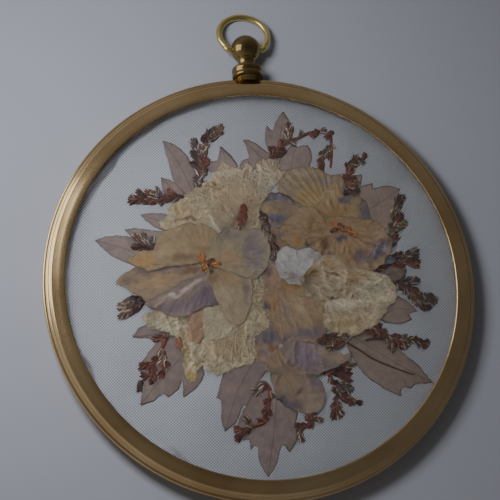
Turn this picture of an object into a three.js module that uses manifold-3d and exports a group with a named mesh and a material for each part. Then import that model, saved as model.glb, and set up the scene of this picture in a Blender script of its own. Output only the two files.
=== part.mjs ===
// A small round brass frame that holds an arrangement of pressed flowers, leaves and sprigs
// on a satin pad under glass, with a turned finial and a swinging hanging ring at the top.
// Millimetres, +Z up out of the glass, +Y towards the finial, origin in the middle of the back.
import * as THREE from "three";
import { mergeVertices } from "three/addons/utils/BufferGeometryUtils.js";
import Module from "manifold-3d";

const wasm = await Module();
wasm.setup();

// Frame.
const FRAME_RADIUS = 50; // at the outermost bead
const WALL = { radius: 49.3, top: 3.95, corner: 0.3 };
const LARGE_BEAD = { height: 4.5, size: 0.45, from: -60, to: 78 };
const BEAD_GROOVE = { radius: 49, height: 5.02 };
const SMALL_BEAD = { radius: 48.95, height: 5.3, size: 0.24, from: -35, to: 70 };
const COVE = { radius: 48.7, bottom: 5.62, top: 5.95 };
const FACE_RADIUS = 48.1; // outer corner of the sloping face
const FACE_DROP = 0.7; // the face slopes down by this towards its outer corner
const LIP_RADIUS = 45; // inner edge, where the picture starts
const LIP_ROUND = 0.3;
const LIP_UNDERSIDE = 6.15;
const FRAME_HEIGHT = 7;
const POCKET_RADIUS = 47.4; // the card, the pad and the glass sit in this bore

// The stack inside the frame, from the back.
const CARD = { radius: 47.2, bottom: 0, top: 1.5 };
const PAD = { radius: 46.9, bottom: 1.55, top: 3.8, edge: 0.9 };
const GLASS = { radius: 47.2, bottom: 5, top: 6.1 };

// Finial, turned about an axis that runs along +Y.
const AXIS_HEIGHT = 3.9;
const BALL_Y = 58.1;
const BALL_RADIUS = 3.55;
const NECK = { y: 54.15, radius: 2.1, flare: 0.3 };
const COLLAR = { bottom: 50.45, top: 53.6, radius: 3.72, edge: 0.35, shoulder: 1 };
const FOOT = { y: 48.8, radius: 2.9, gap: 0.04 }; // cut back to sit against the rim
const RING_HOLE_RADIUS = 0.95;

// Hanging ring: one bent wire whose ends turn into the hole through the ball.
const WIRE_RADIUS = 0.75;
const RING_RADIUS = 5.95; // middle of the wire
const RING_REACH = 4.8; // from the hinge line to the middle of the ring
const RING_END = 1.3; // half the gap between the two ends, inside the ball
const RING_BEND = [[RING_END, 0], [3.4, 0], [4.1, 0.08], [4.58, 0.5]];
const RING_TURN = { from: -38, steps: 14 };
const TABLE_CLEARANCE = 0.02;

// Pressed pieces, laid one on another.
const FILM = 0.1; // thickness of a petal or a leaf
const BUD_FILM = 0.34; // thickness of a flattened bud
const LAY_GAP = 0.03;
const STEM_WIDTH = 0.75;
const STEM_TAPER = 0.45; // share of its width that a stem loses by its far end
const BUD_BELLY = 0.12; // how far behind its middle a bud is widest, as a share of its length
const TIP = true; // marks an outline point where the edge turns sharply

const ROUND = { rim: 48, disc: 40, finial: 16, wire: 8, wireSteps: 26 };

const COLOURS = {
  brass: { color: 0xa5874f, roughness: 0.28, metalness: 1 },
  card: { color: 0x8a7a66, roughness: 0.9, metalness: 0 },
  satin: { color: 0xd9dcdf, roughness: 0.5, metalness: 0 },
  glass: { color: 0xeef3f2, roughness: 0.03, metalness: 0, transparent: true, opacity: 0.18 },
  leaf: { color: 0x86716c, roughness: 0.8, metalness: 0 },
  sprig: { color: 0x5a3028, roughness: 0.8, metalness: 0 },
  cream: { color: 0xc3b896, roughness: 0.8, metalness: 0 },
  tan: { color: 0xa48b68, roughness: 0.8, metalness: 0 },
  mauve: { color: 0x857170, roughness: 0.8, metalness: 0 },
  pale: { color: 0xb4b2ab, roughness: 0.8, metalness: 0 },
};

// Leaves, from the pad up. Each outline is a list of [x, y] points, with TIP at a sharp corner.
const LEAVES = {
  leaf_upper_left: [
    [-21.5, 34.7, TIP], [-18.6, 33.6], [-16, 31.2], [-14.8, 28.6], [-13.8, 25], [-14.2, 21.8],
    [-17, 21.6], [-19.4, 24.6], [-20.3, 28.6], [-21.1, 32.6],
  ],
  leaf_upper_left_small: [
    [-22.3, 25.7, TIP], [-19.6, 24.6], [-17.2, 21.9], [-17.6, 20], [-20.6, 20.1], [-22, 22.4],
  ],
  leaf_left_top: [
    [-27.6, 16.6, TIP], [-25, 17.1], [-21.6, 16.6], [-18.6, 14.6], [-19.3, 12.4, TIP],
    [-22.6, 12.8], [-25.6, 14.6],
  ],
  leaf_left_upper: [
    [-31.3, 13.2, TIP], [-28.6, 13.5], [-25, 12.9], [-21.2, 12], [-22, 9.4], [-26, 9.2],
    [-29.4, 11.3],
  ],
  leaf_left: [
    [-38.1, 10.8, TIP], [-35.2, 11.7], [-31.4, 11.7], [-27.4, 9.8], [-24.9, 6], [-27, 4],
    [-30.6, 5.1], [-34.2, 6.9], [-36.6, 9.1],
  ],
  leaf_lower_left_small: [
    [-30.9, -11.9, TIP], [-29, -9.8], [-26, -9.1], [-22.2, -10.4], [-23, -12.1], [-27, -12.3],
  ],
  leaf_lower_left: [
    [-20.2, -12.2], [-23.6, -11.8], [-26.4, -14.4], [-29.9, -19.2, TIP], [-28.5, -21.6],
    [-29.8, -27.1, TIP], [-26.6, -26.2], [-24.5, -24.8], [-23.4, -25.7, TIP], [-21, -23.8],
    [-20, -21.8], [-20.1, -25.9, TIP], [-17, -23.7], [-15.1, -20.2], [-17, -15.5],
  ],
  leaf_bottom_left: [
    [-10, -19.4], [-11.8, -23.2], [-12.7, -26.2, TIP], [-11.7, -27], [-12, -30.4],
    [-11.4, -33.8, TIP], [-8.6, -31.6], [-7, -28.2], [-5.5, -28.8, TIP], [-4.2, -25],
    [-1.2, -20.8], [-1.2, -18.2], [-6, -18],
  ],
  leaf_bottom: [
    [0.4, -26.2], [-2.6, -23.6], [-5.6, -27.2], [-9.5, -33.9, TIP], [-6.6, -33.8],
    [-7.8, -35.9, TIP], [-6, -35.8], [-6.2, -38.1, TIP], [-4.4, -37.3], [-4.1, -41],
    [-2.5, -44.1, TIP], [-0.3, -41], [0.9, -37.4, TIP], [1.7, -37.6], [2.6, -39.1, TIP],
    [4.7, -36], [4.7, -32.6], [5.2, -30.2], [3, -27.8],
  ],
  leaf_lower_right: [
    [18.2, -15.2], [20.6, -12.8], [23.6, -11.6], [27.6, -14.6], [32, -18.6], [34.6, -21.2],
    [37.3, -25.2, TIP], [33.2, -25.2], [32.2, -26.1, TIP], [29.7, -26], [29.7, -27.9, TIP],
    [26.2, -26.2], [21.8, -22.7], [19.2, -18.6],
  ],
  leaf_right_low: [
    [26.4, -8.8], [28.8, -6], [31, -4.3], [33.8, -6], [35.7, -8.3, TIP], [33.5, -8.7],
    [34.3, -10.1, TIP], [31, -11], [27.4, -10.4],
  ],
  leaf_right_upper: [
    [24.2, 22], [28.5, 23.4, TIP], [28.2, 22], [31.4, 22.7], [34.9, 22, TIP], [33.8, 18.2],
    [32.6, 13.8], [29.4, 11.6], [25.8, 13.2], [23.2, 18],
  ],
  leaf_upper_right: [
    [20, 25.3], [25.8, 25.7, TIP], [25, 22.8], [21.4, 20.2], [19.3, 21.8], [19.2, 24],
  ],
  leaf_top_pair: [
    [5.9, 26], [6, 29.6], [8.2, 32.2], [10.3, 34.2, TIP], [10.7, 32.7], [13, 33.4],
    [13.9, 30.4], [12.4, 26.8], [8.4, 24.8],
  ],
  leaf_top: [
    [4.2, 30.8], [2.9, 35], [3.5, 38.4, TIP], [4.9, 37], [5.7, 39.2], [7.9, 41.9, TIP],
    [9.6, 38.6], [9.5, 34.6], [7.4, 32.8],
  ],
  leaf_top_left: [
    [-2.6, 34.9, TIP], [0.4, 34], [2.6, 32], [4.8, 30.4], [2.4, 28], [-3.9, 27.2],
    [-2.5, 29.8, TIP], [-1.3, 30.4], [-1.8, 33],
  ],
  leaf_top_narrow: [
    [-7.9, 33.5, TIP], [-5.6, 30.8], [-4.1, 28], [-6.6, 25.8], [-11, 27.2], [-10.4, 29.4, TIP],
    [-8.7, 29.8], [-8.3, 31.8],
  ],
};

// Sprigs: stems as lists of points, and buds as [x, y, direction in degrees, length, width].
const SPRIGS = {
  sprig_upper_left: {
    stems: [[[-13, 23], [-12.8, 27], [-12.4, 31], [-11.4, 34.2], [-8, 37.2]]],
    buds: [
      [-13.8, 24.8, 110, 3, 1.8], [-12.4, 26.6, 60, 3, 1.8], [-14, 28.2, 135, 3.2, 1.8],
      [-11.7, 29.2, 70, 3.4, 2], [-13.6, 30.8, 120, 3.6, 1.8], [-13.4, 33.5, 118, 4.2, 1.8],
      [-11.6, 32.8, 90, 3.6, 2], [-11, 36, 60, 3.8, 1.8], [-8.8, 36, 38, 4, 1.9],
      [-8, 37.7, 30, 2.8, 1.7],
    ],
  },
  sprig_left_upper: {
    stems: [[[-18.2, 20.2], [-22, 20.4], [-26, 20.6], [-29.6, 20.4]]],
    buds: [
      [-19.2, 20.2, 190, 3.4, 2], [-19.8, 21.8, 120, 2.6, 1.4], [-21.8, 19.8, 190, 3.2, 1.4],
      [-23, 21.7, 120, 3.4, 1.1], [-25, 21.6, 150, 3, 1.6], [-25.4, 19.9, 190, 3, 1.5],
      [-27.2, 21.6, 140, 2.8, 1.3], [-28.6, 20.2, 185, 3.2, 1.5],
    ],
  },
  sprig_left: {
    stems: [[[-23.4, 8.4], [-26, 9.2], [-28.4, 11]]],
    buds: [
      [-24.4, 8.6, 160, 3, 2], [-25.4, 10.4, 120, 3, 1.7], [-26.4, 8.2, 180, 3.2, 1.9],
      [-26.8, 11.2, 120, 3, 1.3], [-28.2, 11.2, 130, 2.8, 1.4], [-28.1, 9.3, 170, 3.4, 1.7],
    ],
  },
  sprig_lower_left_bud: {
    stems: [[[-27.7, -3.2], [-30, -4], [-32.6, -5.6]]],
    buds: [
      [-28.6, -3.6, 210, 3.2, 2.4], [-30.4, -2.9, 192, 3.2, 1.5], [-31.8, -4.6, 200, 3.6, 1.6],
      [-30.4, -5.4, 220, 3.4, 1.8], [-32, -6.6, 225, 3.2, 1.4],
    ],
  },
  sprig_lower_left: {
    stems: [
      [[-22.9, -11.8], [-24.3, -14.8], [-26.2, -18.2], [-27.6, -20.6], [-29.8, -22.4]],
      [[-24.4, -14.8], [-24, -17.6], [-24.3, -21.4]],
    ],
    buds: [
      [-27.8, -18.5, 200, 3.4, 1.5], [-24.2, -17, 265, 3.6, 1.9], [-26.8, -21.2, 280, 2.8, 1.5],
      [-29.4, -23, 240, 2.4, 1.4], [-24.6, -12.3, 190, 3.4, 0.9],
    ],
  },
  sprig_bottom_left: {
    stems: [[[-1.3, -23.5], [-0.5, -25.4], [-1.4, -29.2], [-2.3, -32], [-5.6, -33.1], [-9.4, -33.9]]],
    buds: [
      [-2.8, -24.7, 220, 3.8, 1.4], [-6.3, -31.9, 120, 2.8, 1.1], [-8.2, -34.6, 240, 3.2, 1.6],
      [-1.9, -30.4, 255, 3, 1.3],
    ],
  },
  sprig_bottom: {
    stems: [[[8.4, -30], [8.6, -32.4], [6.4, -33.6], [5.2, -35.6]]],
    buds: [
      [8.2, -31.2, 260, 2.6, 1.8], [9.6, -32.3, 345, 2.6, 1.3], [5.6, -33.3, 170, 2.6, 1.2],
      [5.3, -35.6, 270, 2.8, 1.5],
    ],
  },
  sprig_lower_right: {
    stems: [
      [[12.4, -20.4], [13.6, -22.8], [14.8, -25.6], [14.4, -28.4], [14.2, -31.4]],
      [[14.9, -26.2], [17.4, -27.6], [19.8, -29.4]],
    ],
    buds: [
      [13.8, -20.9, 350, 3.2, 1.5], [16.4, -20.3, 350, 4, 1.6], [18.6, -20.2, 350, 2.6, 1],
      [16.4, -21.8, 345, 4.2, 1.9], [16.8, -23, 325, 3.8, 1.5], [16.4, -25.4, 330, 4, 2.4],
      [17.2, -27.8, 328, 3.6, 1.6], [13.8, -30.4, 262, 4, 1.7], [15, -30, 290, 3, 1.4],
    ],
  },
  sprig_right_low: {
    stems: [[[23.2, -11.8], [26.4, -12.6], [29.6, -14.6], [33.6, -15], [36.6, -16.3]]],
    buds: [
      [23.8, -12.4, 300, 3, 1.4], [26.2, -12.2, 300, 3.8, 2], [27.8, -14.2, 300, 3.4, 1.4],
      [28.5, -16.2, 265, 3, 1.3], [29.8, -15.4, 285, 3.8, 2], [31.4, -15.2, 310, 3.8, 2],
      [33.4, -14.9, 340, 2.6, 1.4], [36, -16.1, 335, 2.6, 1.7],
    ],
  },
  sprig_right_middle: {
    stems: [[[29.4, -0.6], [32.6, -2], [34.6, -4.4], [37.6, -5.6], [40.2, -5.8]]],
    buds: [
      [31.8, -1.6, 330, 4, 2.6], [34.7, -0.9, 355, 4.8, 1.9], [34.8, -2.9, 335, 4, 1.8],
      [36, -3.7, 325, 2.8, 1.3], [35.2, -5.6, 300, 3.4, 1.9], [37.4, -6.95, 340, 3.5, 1.6],
      [39.1, -5.3, 330, 3.6, 1.9],
    ],
  },
  sprig_right_upper: {
    stems: [[[26.6, 1.8], [30.4, 3.2], [34.4, 4], [37.2, 3.2]]],
    buds: [
      [27.6, 1.7, 340, 2.8, 1.3], [30.4, 4.4, 10, 3.4, 2], [32.1, 5.6, 25, 3.4, 1.4],
      [32.4, 3.4, 5, 3.6, 1.9], [34.8, 4.4, 5, 3.6, 2], [35.8, 3.2, 350, 3.4, 1.4],
      [36.2, 5.9, 25, 3.4, 2],
    ],
  },
  sprig_right_top: {
    stems: [[[31.4, 8.6], [31.8, 11.6], [33.2, 14.6], [33.4, 17.4], [35, 20]]],
    buds: [
      [32, 9.2, 60, 3.6, 1.5], [32.2, 11.8, 60, 3.2, 1.4], [34, 12.8, 35, 3.6, 1.2],
      [33.7, 14.6, 60, 3, 1.5], [33.1, 16.4, 60, 3.2, 1.5], [34.5, 18.5, 65, 3.8, 1.7],
    ],
  },
  sprig_top_right: {
    stems: [[[21.6, 21], [22.2, 24.4], [22.4, 27.2], [24, 28.8], [27.4, 30.1]]],
    buds: [
      [22.6, 21.6, 20, 4, 1.6], [23.3, 22.8, 15, 3.8, 1.6], [22.8, 24, 30, 3.4, 1.4],
      [24.3, 28.8, 35, 3.8, 1.6],
    ],
  },
  sprig_top_arch: {
    stems: [
      [
        [4.2, 30], [6.4, 32.8], [8.8, 34.3], [11.4, 35.2], [14, 36.4], [16.6, 36.6], [18.9, 36],
        [19, 33.4], [18.8, 30.6], [18.2, 27.4],
      ],
    ],
    buds: [
      [4.6, 31.3, 70, 3.4, 1.9], [6, 31.6, 20, 3.8, 1.8], [8.2, 35.4, 90, 3, 1.4],
      [9, 37.2, 80, 3.8, 1.5], [15.6, 36.3, 60, 2, 1.3], [18.8, 36.2, 60, 1.8, 1.3],
      [17.9, 31.5, 250, 2.8, 1.4], [16.6, 30.6, 250, 3.2, 1.5], [15.8, 28.3, 262, 3.4, 1.3],
    ],
  },
  sprig_middle: {
    stems: [[[0.6, 16.6], [0.9, 13.4], [1.6, 11.2], [2.6, 8.4], [3, 6.2]]],
    buds: [
      [0.9, 15.2, 290, 3.4, 1.6], [1.6, 12.4, 295, 3, 1.8], [2, 10.3, 300, 3.2, 1.8],
      [2.5, 8.2, 290, 3, 2.2], [2.7, 6.3, 260, 2.8, 1.6],
    ],
  },
};

// Petals, in the order in which they were laid.
const PETALS = {
  low_flower: [
    "cream",
    [
      [-28.1, -7.6], [-25.4, -5.8], [-18, -4.6], [-9, -2.6], [-3.2, 0.6], [-1, 0.2], [0.1, -2],
      [-1.4, -4.2], [0.5, -7.6], [0.4, -11.2], [-3.2, -12.8], [-3.4, -17.8], [-8.4, -19.5],
      [-11.6, -20.9], [-14.8, -19.4], [-15.9, -18.1], [-17.3, -22], [-19.1, -22],
      [-19.4, -16.6], [-20.1, -12.5], [-22.9, -11], [-26.8, -9.4],
    ],
  ],
  low_flower_strip_petal: [
    "tan",
    [[-16.8, -6.8], [-14.2, -5], [-13.7, -8.4], [-15.8, -13.4], [-17.6, -13.3], [-17.9, -9.4]],
  ],
  low_flower_pale_petal: [
    "cream",
    [[-13.6, -5], [-11, -5.5], [-8.8, -8.6], [-6.9, -10.8], [-9.4, -12.4], [-14.2, -12.9], [-14.4, -9]],
  ],
  small_flower_right_petal: [
    "tan",
    [
      [4.4, 0.6], [9, 0], [10.4, -3], [14.6, -5.4], [15.2, -11.4], [12.8, -13.4], [10, -15.1],
      [5.6, -14.4], [3.8, -9.4], [3.2, -3],
    ],
  ],
  small_flower_left_petal: [
    "tan",
    [
      [-0.4, -0.2], [1, 2.2], [2.8, 3.2], [4.4, 1.4], [4.2, -4], [5, -11.4], [2.6, -15.8],
      [0.2, -17.4], [-3.2, -17.7], [-3.2, -13.4], [0.5, -11.3], [0.7, -7.2], [-1.7, -4.2, TIP],
    ],
  ],
  right_flower_pale_petal: [
    "pale",
    [
      [3.1, 4.3], [3.9, 7], [5.4, 8.6], [8.8, 7.5], [11.4, 8.7], [13.4, 6.2], [13.6, 3],
      [10, 0.4], [5, 0],
    ],
  ],
  double_flower_top_petal: [
    "tan",
    [
      [6, 21.4], [6.8, 24.8], [10.2, 26.5], [13.8, 27.1], [17.4, 26], [20.4, 25.1], [18.6, 21.4],
      [15.2, 17.2], [11, 17], [7.4, 19.2],
    ],
  ],
  double_flower_left_petal: [
    "mauve",
    [
      [-0.2, 16.8, TIP], [1, 19.4], [3.4, 21.2], [7.2, 19.4], [10.6, 17], [8, 13.6], [3.6, 11.6],
      [1.2, 14.4],
    ],
  ],
  double_flower_right_petal: [
    "tan",
    [
      [17.2, 22.4], [18.8, 23.1], [21.4, 20.1], [25.2, 19.4], [26.7, 15.4], [26, 12], [21.2, 12],
      [16.2, 14.8], [15.8, 19],
    ],
  ],
  double_flower_low_petal: [
    "tan",
    [
      [3.9, 12], [6.4, 9.5], [9.2, 7.7], [10.8, 9], [13.2, 11.6], [14.8, 14.4], [12, 16.2],
      [7, 14.8],
    ],
  ],
  double_flower_low_right_petal: [
    "tan",
    [
      [19.6, 12.6], [25, 12.7], [29.4, 12.2], [31, 9.4], [29, 5.2], [26, 2.4], [21, 2.4],
      [17, 5.2], [14.2, 6], [13.6, 9], [16, 12],
    ],
  ],
  right_flower_main_petal: [
    "cream",
    [
      [8.8, -0.6], [10.4, 2], [13, 4.4], [16, 6, TIP], [18, 3.8], [22, 1.7], [26, 1.4],
      [29.2, 0.7, TIP], [31, -2.2], [30.6, -5.6, TIP], [27.8, -7.9], [26, -10.1], [20.4, -12.8],
      [17.2, -13.9], [14.4, -11.4], [13.6, -6], [10.4, -3.6],
    ],
  ],
  top_flower_left_petal: [
    "cream",
    [
      [-23, 14.5, TIP], [-20.3, 16.6], [-21.1, 17.8, TIP], [-17.6, 19.9], [-12, 20.6],
      [-7.4, 18.6], [-6.4, 14.4], [-10, 11.6], [-12.4, 13.7], [-18.8, 12.9], [-22.4, 13],
    ],
  ],
  top_flower_upper_petal: [
    "cream",
    [
      [-17.9, 20], [-13.6, 22.7], [-10, 25.8], [-7.7, 29.1, TIP], [-5.4, 27.7], [-3, 27.4],
      [-1.7, 29.3, TIP], [-0.4, 25.2], [-1.8, 19.6], [-5.8, 16.8], [-11.6, 18.6],
    ],
  ],
  top_flower_right_petal: [
    "cream",
    [
      [-0.6, 25.2], [1.4, 29.1, TIP], [5.2, 29.6], [5.8, 26.8], [7.1, 26.7, TIP], [4.9, 23.8],
      [0.6, 18.8], [-0.2, 15.4], [0.3, 12.8], [-5, 12.1], [-9, 12.5], [-5.2, 16.2],
      [-2.2, 20.6],
    ],
  ],
  front_flower_left_petal: [
    "mauve",
    [
      [-33.6, 0.6, TIP], [-31.8, 2.4], [-28.4, 4.2], [-24, 5], [-17, 5.4], [-13, 3], [-16, 0.8],
      [-22.4, -2.4], [-26.2, -4.4], [-28.6, -2.2],
    ],
  ],
  front_flower_low_left_petal: [
    "mauve",
    [
      [-12.8, 2.2], [-11.7, -2], [-11, -5, TIP], [-14.8, -5.4], [-18.6, -7.6], [-23.4, -6.3],
      [-27.6, -4.4, TIP], [-21.6, -1.6], [-15.6, 1.8],
    ],
  ],
  front_flower_low_petal: [
    "tan",
    [
      [-13, 3.4], [-11.6, -1.8], [-9.8, -6.8], [-7.3, -10], [-5.2, -8.6], [-3.4, -3.4],
      [-3.3, 1], [-6.4, 3.2], [-10, 4.6],
    ],
  ],
  front_flower_upper_left_petal: [
    "tan",
    [
      [-24, 10.6], [-20.6, 12.9], [-15.2, 13.9], [-10, 11.7], [-12, 7.6], [-15.4, 4.8],
      [-21, 4.5], [-26.3, 3.3, TIP], [-31, 5.9, TIP], [-27.6, 7.7], [-24.6, 7.6],
    ],
  ],
  front_flower_round_petal: [
    "mauve",
    [
      [-12.4, 6.6], [-10.4, 10.9], [-7.8, 12.5], [-4, 12.1], [-0.4, 12.1], [1.5, 8.8], [1.1, 4.6],
      [-2.2, 0.8], [-7.4, 2.6], [-11.8, 4.4],
    ],
  ],
  lumpy_flower_upper_petal: [
    "mauve",
    [
      [-1.2, -20.4], [1, -17], [5.2, -14.6], [11, -15.6], [16.6, -18], [18.8, -17.2, TIP],
      [17.4, -19.2], [13, -20.8], [9, -22.1], [4, -20.8],
    ],
  ],
  lumpy_flower_lower_petal: [
    "tan",
    [
      [-0.2, -21.4], [3.6, -19.9], [8, -21.4], [11.2, -24], [11.4, -28.6], [9.6, -30.4],
      [5, -29.8], [1, -27], [0.3, -24],
    ],
  ],
};

// A closed mesh as a manifold solid.
function solidOf(geometry) {
  const bare = geometry.clone();
  bare.deleteAttribute("normal");
  bare.deleteAttribute("uv");
  const merged = mergeVertices(bare, 1e-4);
  return new wasm.Manifold(
    new wasm.Mesh({
      numProp: 3,
      vertProperties: new Float32Array(merged.attributes.position.array),
      triVerts: new Uint32Array(merged.index.array),
    }),
  );
}

// A manifold solid back as a geometry.
function geometryOf(solid) {
  const { vertProperties, triVerts } = solid.getMesh();
  const geometry = new THREE.BufferGeometry();
  geometry.setAttribute("position", new THREE.BufferAttribute(new Float32Array(vertProperties), 3));
  geometry.setIndex(new THREE.BufferAttribute(new Uint32Array(triVerts), 1));
  return geometry;
}

function named(name, geometry, colour) {
  const mesh = new THREE.Mesh(geometry, new THREE.MeshStandardMaterial(COLOURS[colour]));
  mesh.name = name;
  return mesh;
}

// A turned solid: [radius, height] pairs about +Z, counter-clockwise round the section.
function turned(profile, segments) {
  const points = profile.map(([radius, height]) => new THREE.Vector2(radius, height));
  return new THREE.LatheGeometry(points, segments).rotateX(Math.PI / 2);
}

// Points on an arc of a turned profile, from one angle to another in degrees.
function arc(radius, height, size, from, to, steps) {
  return Array.from({ length: steps + 1 }, (_, i) => {
    const angle = THREE.MathUtils.degToRad(from + ((to - from) * i) / steps);
    return [radius + size * Math.cos(angle), height + size * Math.sin(angle)];
  });
}

// The rim's outer side from the back: a plain wall, a large bead, a small bead and a cove.
function rimOutside() {
  const { size, height, from, to } = LARGE_BEAD;
  const small = SMALL_BEAD;
  return [
    [WALL.radius - WALL.corner, 0],
    [WALL.radius, WALL.corner],
    [WALL.radius, WALL.top],
    ...arc(FRAME_RADIUS - size, height, size, from, to, 3),
    [BEAD_GROOVE.radius, BEAD_GROOVE.height],
    ...arc(small.radius, small.height, small.size, small.from, small.to, 1),
    [COVE.radius, COVE.bottom],
    [COVE.radius, COVE.top],
  ];
}

// The rim: its outer side, a sloping face that ends in a rounded lip, and the pocket behind it.
function rim() {
  const profile = [
    [POCKET_RADIUS, 0],
    ...rimOutside(),
    [FACE_RADIUS, FRAME_HEIGHT - FACE_DROP],
    [LIP_RADIUS + LIP_ROUND, FRAME_HEIGHT],
    [LIP_RADIUS, FRAME_HEIGHT - LIP_ROUND],
    [LIP_RADIUS, LIP_UNDERSIDE],
    [POCKET_RADIUS, LIP_UNDERSIDE],
    [POCKET_RADIUS, 0],
  ];
  return named("rim", turned(profile, ROUND.rim), "brass");
}

function disc({ radius, bottom, top }) {
  return turned([[0, bottom], [radius, bottom], [radius, top], [0, top]], ROUND.disc);
}

// The satin pad: a soft disc that rounds over at its edge, where the glass leaves it free.
function pad() {
  const { radius, bottom, top, edge } = PAD;
  const profile = [
    [0, bottom],
    [radius - edge / 3, bottom],
    ...arc(radius - edge, top - edge, edge, 0, 90, 2),
    [0, top],
  ];
  return turned(profile, ROUND.disc);
}

// The finial: foot, collar, neck and ball, turned in one piece and drilled across for the ring.
// Its foot is cut to the rim's outer side, which it is soldered to.
function finial() {
  const { radius, bottom, top, edge, shoulder } = COLLAR;
  const ballStart = THREE.MathUtils.radToDeg(-Math.acos(NECK.radius / BALL_RADIUS));
  const profile = [
    [0, FOOT.y],
    [FOOT.radius, FOOT.y],
    [FOOT.radius, bottom],
    [radius - edge, bottom],
    [radius, bottom + edge],
    [radius, top - shoulder],
    [radius - edge, top - edge],
    [NECK.radius + NECK.flare, top],
    [NECK.radius, NECK.y],
    ...arc(0, BALL_Y, BALL_RADIUS, ballStart, 90, 8).slice(0, -1),
    [0, BALL_Y + BALL_RADIUS],
  ];
  const body = turned(profile, ROUND.finial).rotateX(-Math.PI / 2).translate(0, 0, AXIS_HEIGHT);
  const drill = new THREE.CylinderGeometry(RING_HOLE_RADIUS, RING_HOLE_RADIUS, 4 * BALL_RADIUS, 16)
    .rotateZ(Math.PI / 2)
    .translate(0, BALL_Y, AXIS_HEIGHT);
  const seat = rimOutside().map(([r, z]) => [r + FOOT.gap, z]);
  const rimSpace = turned([[0, 0], ...seat, [0, FRAME_HEIGHT]], ROUND.rim);
  const solid = solidOf(body).subtract(solidOf(drill)).subtract(solidOf(rimSpace));
  return named("finial", geometryOf(solid), "brass");
}

// The ring's centre line from one end round to the other, before it droops: x across, y outwards.
function ringPath() {
  const { from, steps } = RING_TURN;
  const turn = arc(0, RING_REACH, RING_RADIUS, from, 180 - from, steps);
  const end = RING_BEND.map(([x, y]) => [-x, y]).reverse();
  return [...RING_BEND, ...turn, ...end];
}

// The hanging ring, drooping from the ball until its far side rests on what the frame lies on.
function bail() {
  const lift = AXIS_HEIGHT - WIRE_RADIUS - TABLE_CLEARANCE;
  const droop = Math.asin(lift / (RING_REACH + RING_RADIUS));
  const points = ringPath().map(([x, y]) => new THREE.Vector3(x, y, 0));
  const section = new THREE.Shape(
    Array.from({ length: ROUND.wire }, (_, i) => {
      const angle = ((i + 0.5) * 2 * Math.PI) / ROUND.wire;
      return new THREE.Vector2(WIRE_RADIUS * Math.cos(angle), WIRE_RADIUS * Math.sin(angle));
    }),
  );
  const geometry = new THREE.ExtrudeGeometry(section, {
    steps: ROUND.wireSteps,
    extrudePath: new THREE.CatmullRomCurve3(points),
    bevelEnabled: false,
  });
  const mesh = named("bail", geometry, "brass");
  mesh.rotation.x = -droop;
  mesh.position.set(0, BALL_Y, AXIS_HEIGHT);
  return mesh;
}

// An outline as a Shape: smooth through its plain points, sharp at its tips.
function outline(points) {
  const corners = points.flatMap((point, i) => (point[2] ? [i] : []));
  if (!corners.length) {
    const loop = points.map(([x, y]) => new THREE.Vector3(x, y, 0));
    const curve = new THREE.CatmullRomCurve3(loop, true);
    return new THREE.Shape(curve.getPoints(2 * loop.length).slice(0, -1));
  }
  const edge = corners.flatMap((corner, i) => {
    const next = corners[(i + 1) % corners.length] + (i + 1 === corners.length ? points.length : 0);
    const stretch = [];
    for (let k = corner; k <= next; k += 1) {
      const [x, y] = points[k % points.length];
      stretch.push(new THREE.Vector2(x, y));
    }
    return new THREE.SplineCurve(stretch).getPoints(2 * (stretch.length - 1)).slice(0, -1);
  });
  return new THREE.Shape(edge);
}

// A flat strip along a stem, tapering to its far end.
function stemShape(path) {
  const points = path.map(([x, y]) => new THREE.Vector2(x, y));
  const sides = points.map((point, i) => {
    const before = points[Math.max(i - 1, 0)];
    const after = points[Math.min(i + 1, points.length - 1)];
    const along = after.clone().sub(before).normalize();
    const half = (STEM_WIDTH / 2) * (1 - (STEM_TAPER * i) / (points.length - 1));
    return { point, across: new THREE.Vector2(-along.y, along.x).multiplyScalar(half) };
  });
  const left = sides.map(({ point, across }) => point.clone().add(across));
  const right = sides.map(({ point, across }) => point.clone().sub(across)).reverse();
  return new THREE.Shape([...right, ...left]);
}

// A flattened bud: a kite, blunt where it grows from the stem and pointed at its tip.
function budShape([x, y, direction, length, width]) {
  const turn = THREE.MathUtils.degToRad(direction);
  const centre = new THREE.Vector2(x, y);
  const kite = [
    [-length / 2, 0],
    [-length * BUD_BELLY, -width / 2],
    [length / 2, 0],
    [-length * BUD_BELLY, width / 2],
  ];
  return new THREE.Shape(
    kite.map(([along, across]) =>
      new THREE.Vector2(along, across).rotateAround(new THREE.Vector2(), turn).add(centre),
    ),
  );
}

const slab = (shape, thickness) =>
  solidOf(new THREE.ExtrudeGeometry(shape, { depth: thickness, bevelEnabled: false, steps: 1 }));

const together = (solids) => solids.reduce((sum, solid) => sum.add(solid));

// Every pressed piece as layers that share one underside: { name, colour, layers, thicknesses }.
function pressedPieces() {
  const leaves = Object.entries(LEAVES).map(([name, points]) => ({
    name,
    colour: "leaf",
    layers: [{ solid: slab(outline(points), FILM), thickness: FILM }],
  }));
  const sprigs = Object.entries(SPRIGS).map(([name, { stems, buds }]) => ({
    name,
    colour: "sprig",
    layers: [
      { solid: together(stems.map((path) => slab(stemShape(path), FILM))), thickness: FILM },
      { solid: together(buds.map((bud) => slab(budShape(bud), BUD_FILM))), thickness: BUD_FILM },
    ],
  }));
  const petals = Object.entries(PETALS).map(([name, [colour, points]]) => ({
    name,
    colour,
    layers: [{ solid: slab(outline(points), FILM), thickness: FILM }],
  }));
  return [...leaves, ...sprigs, ...petals];
}

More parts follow.
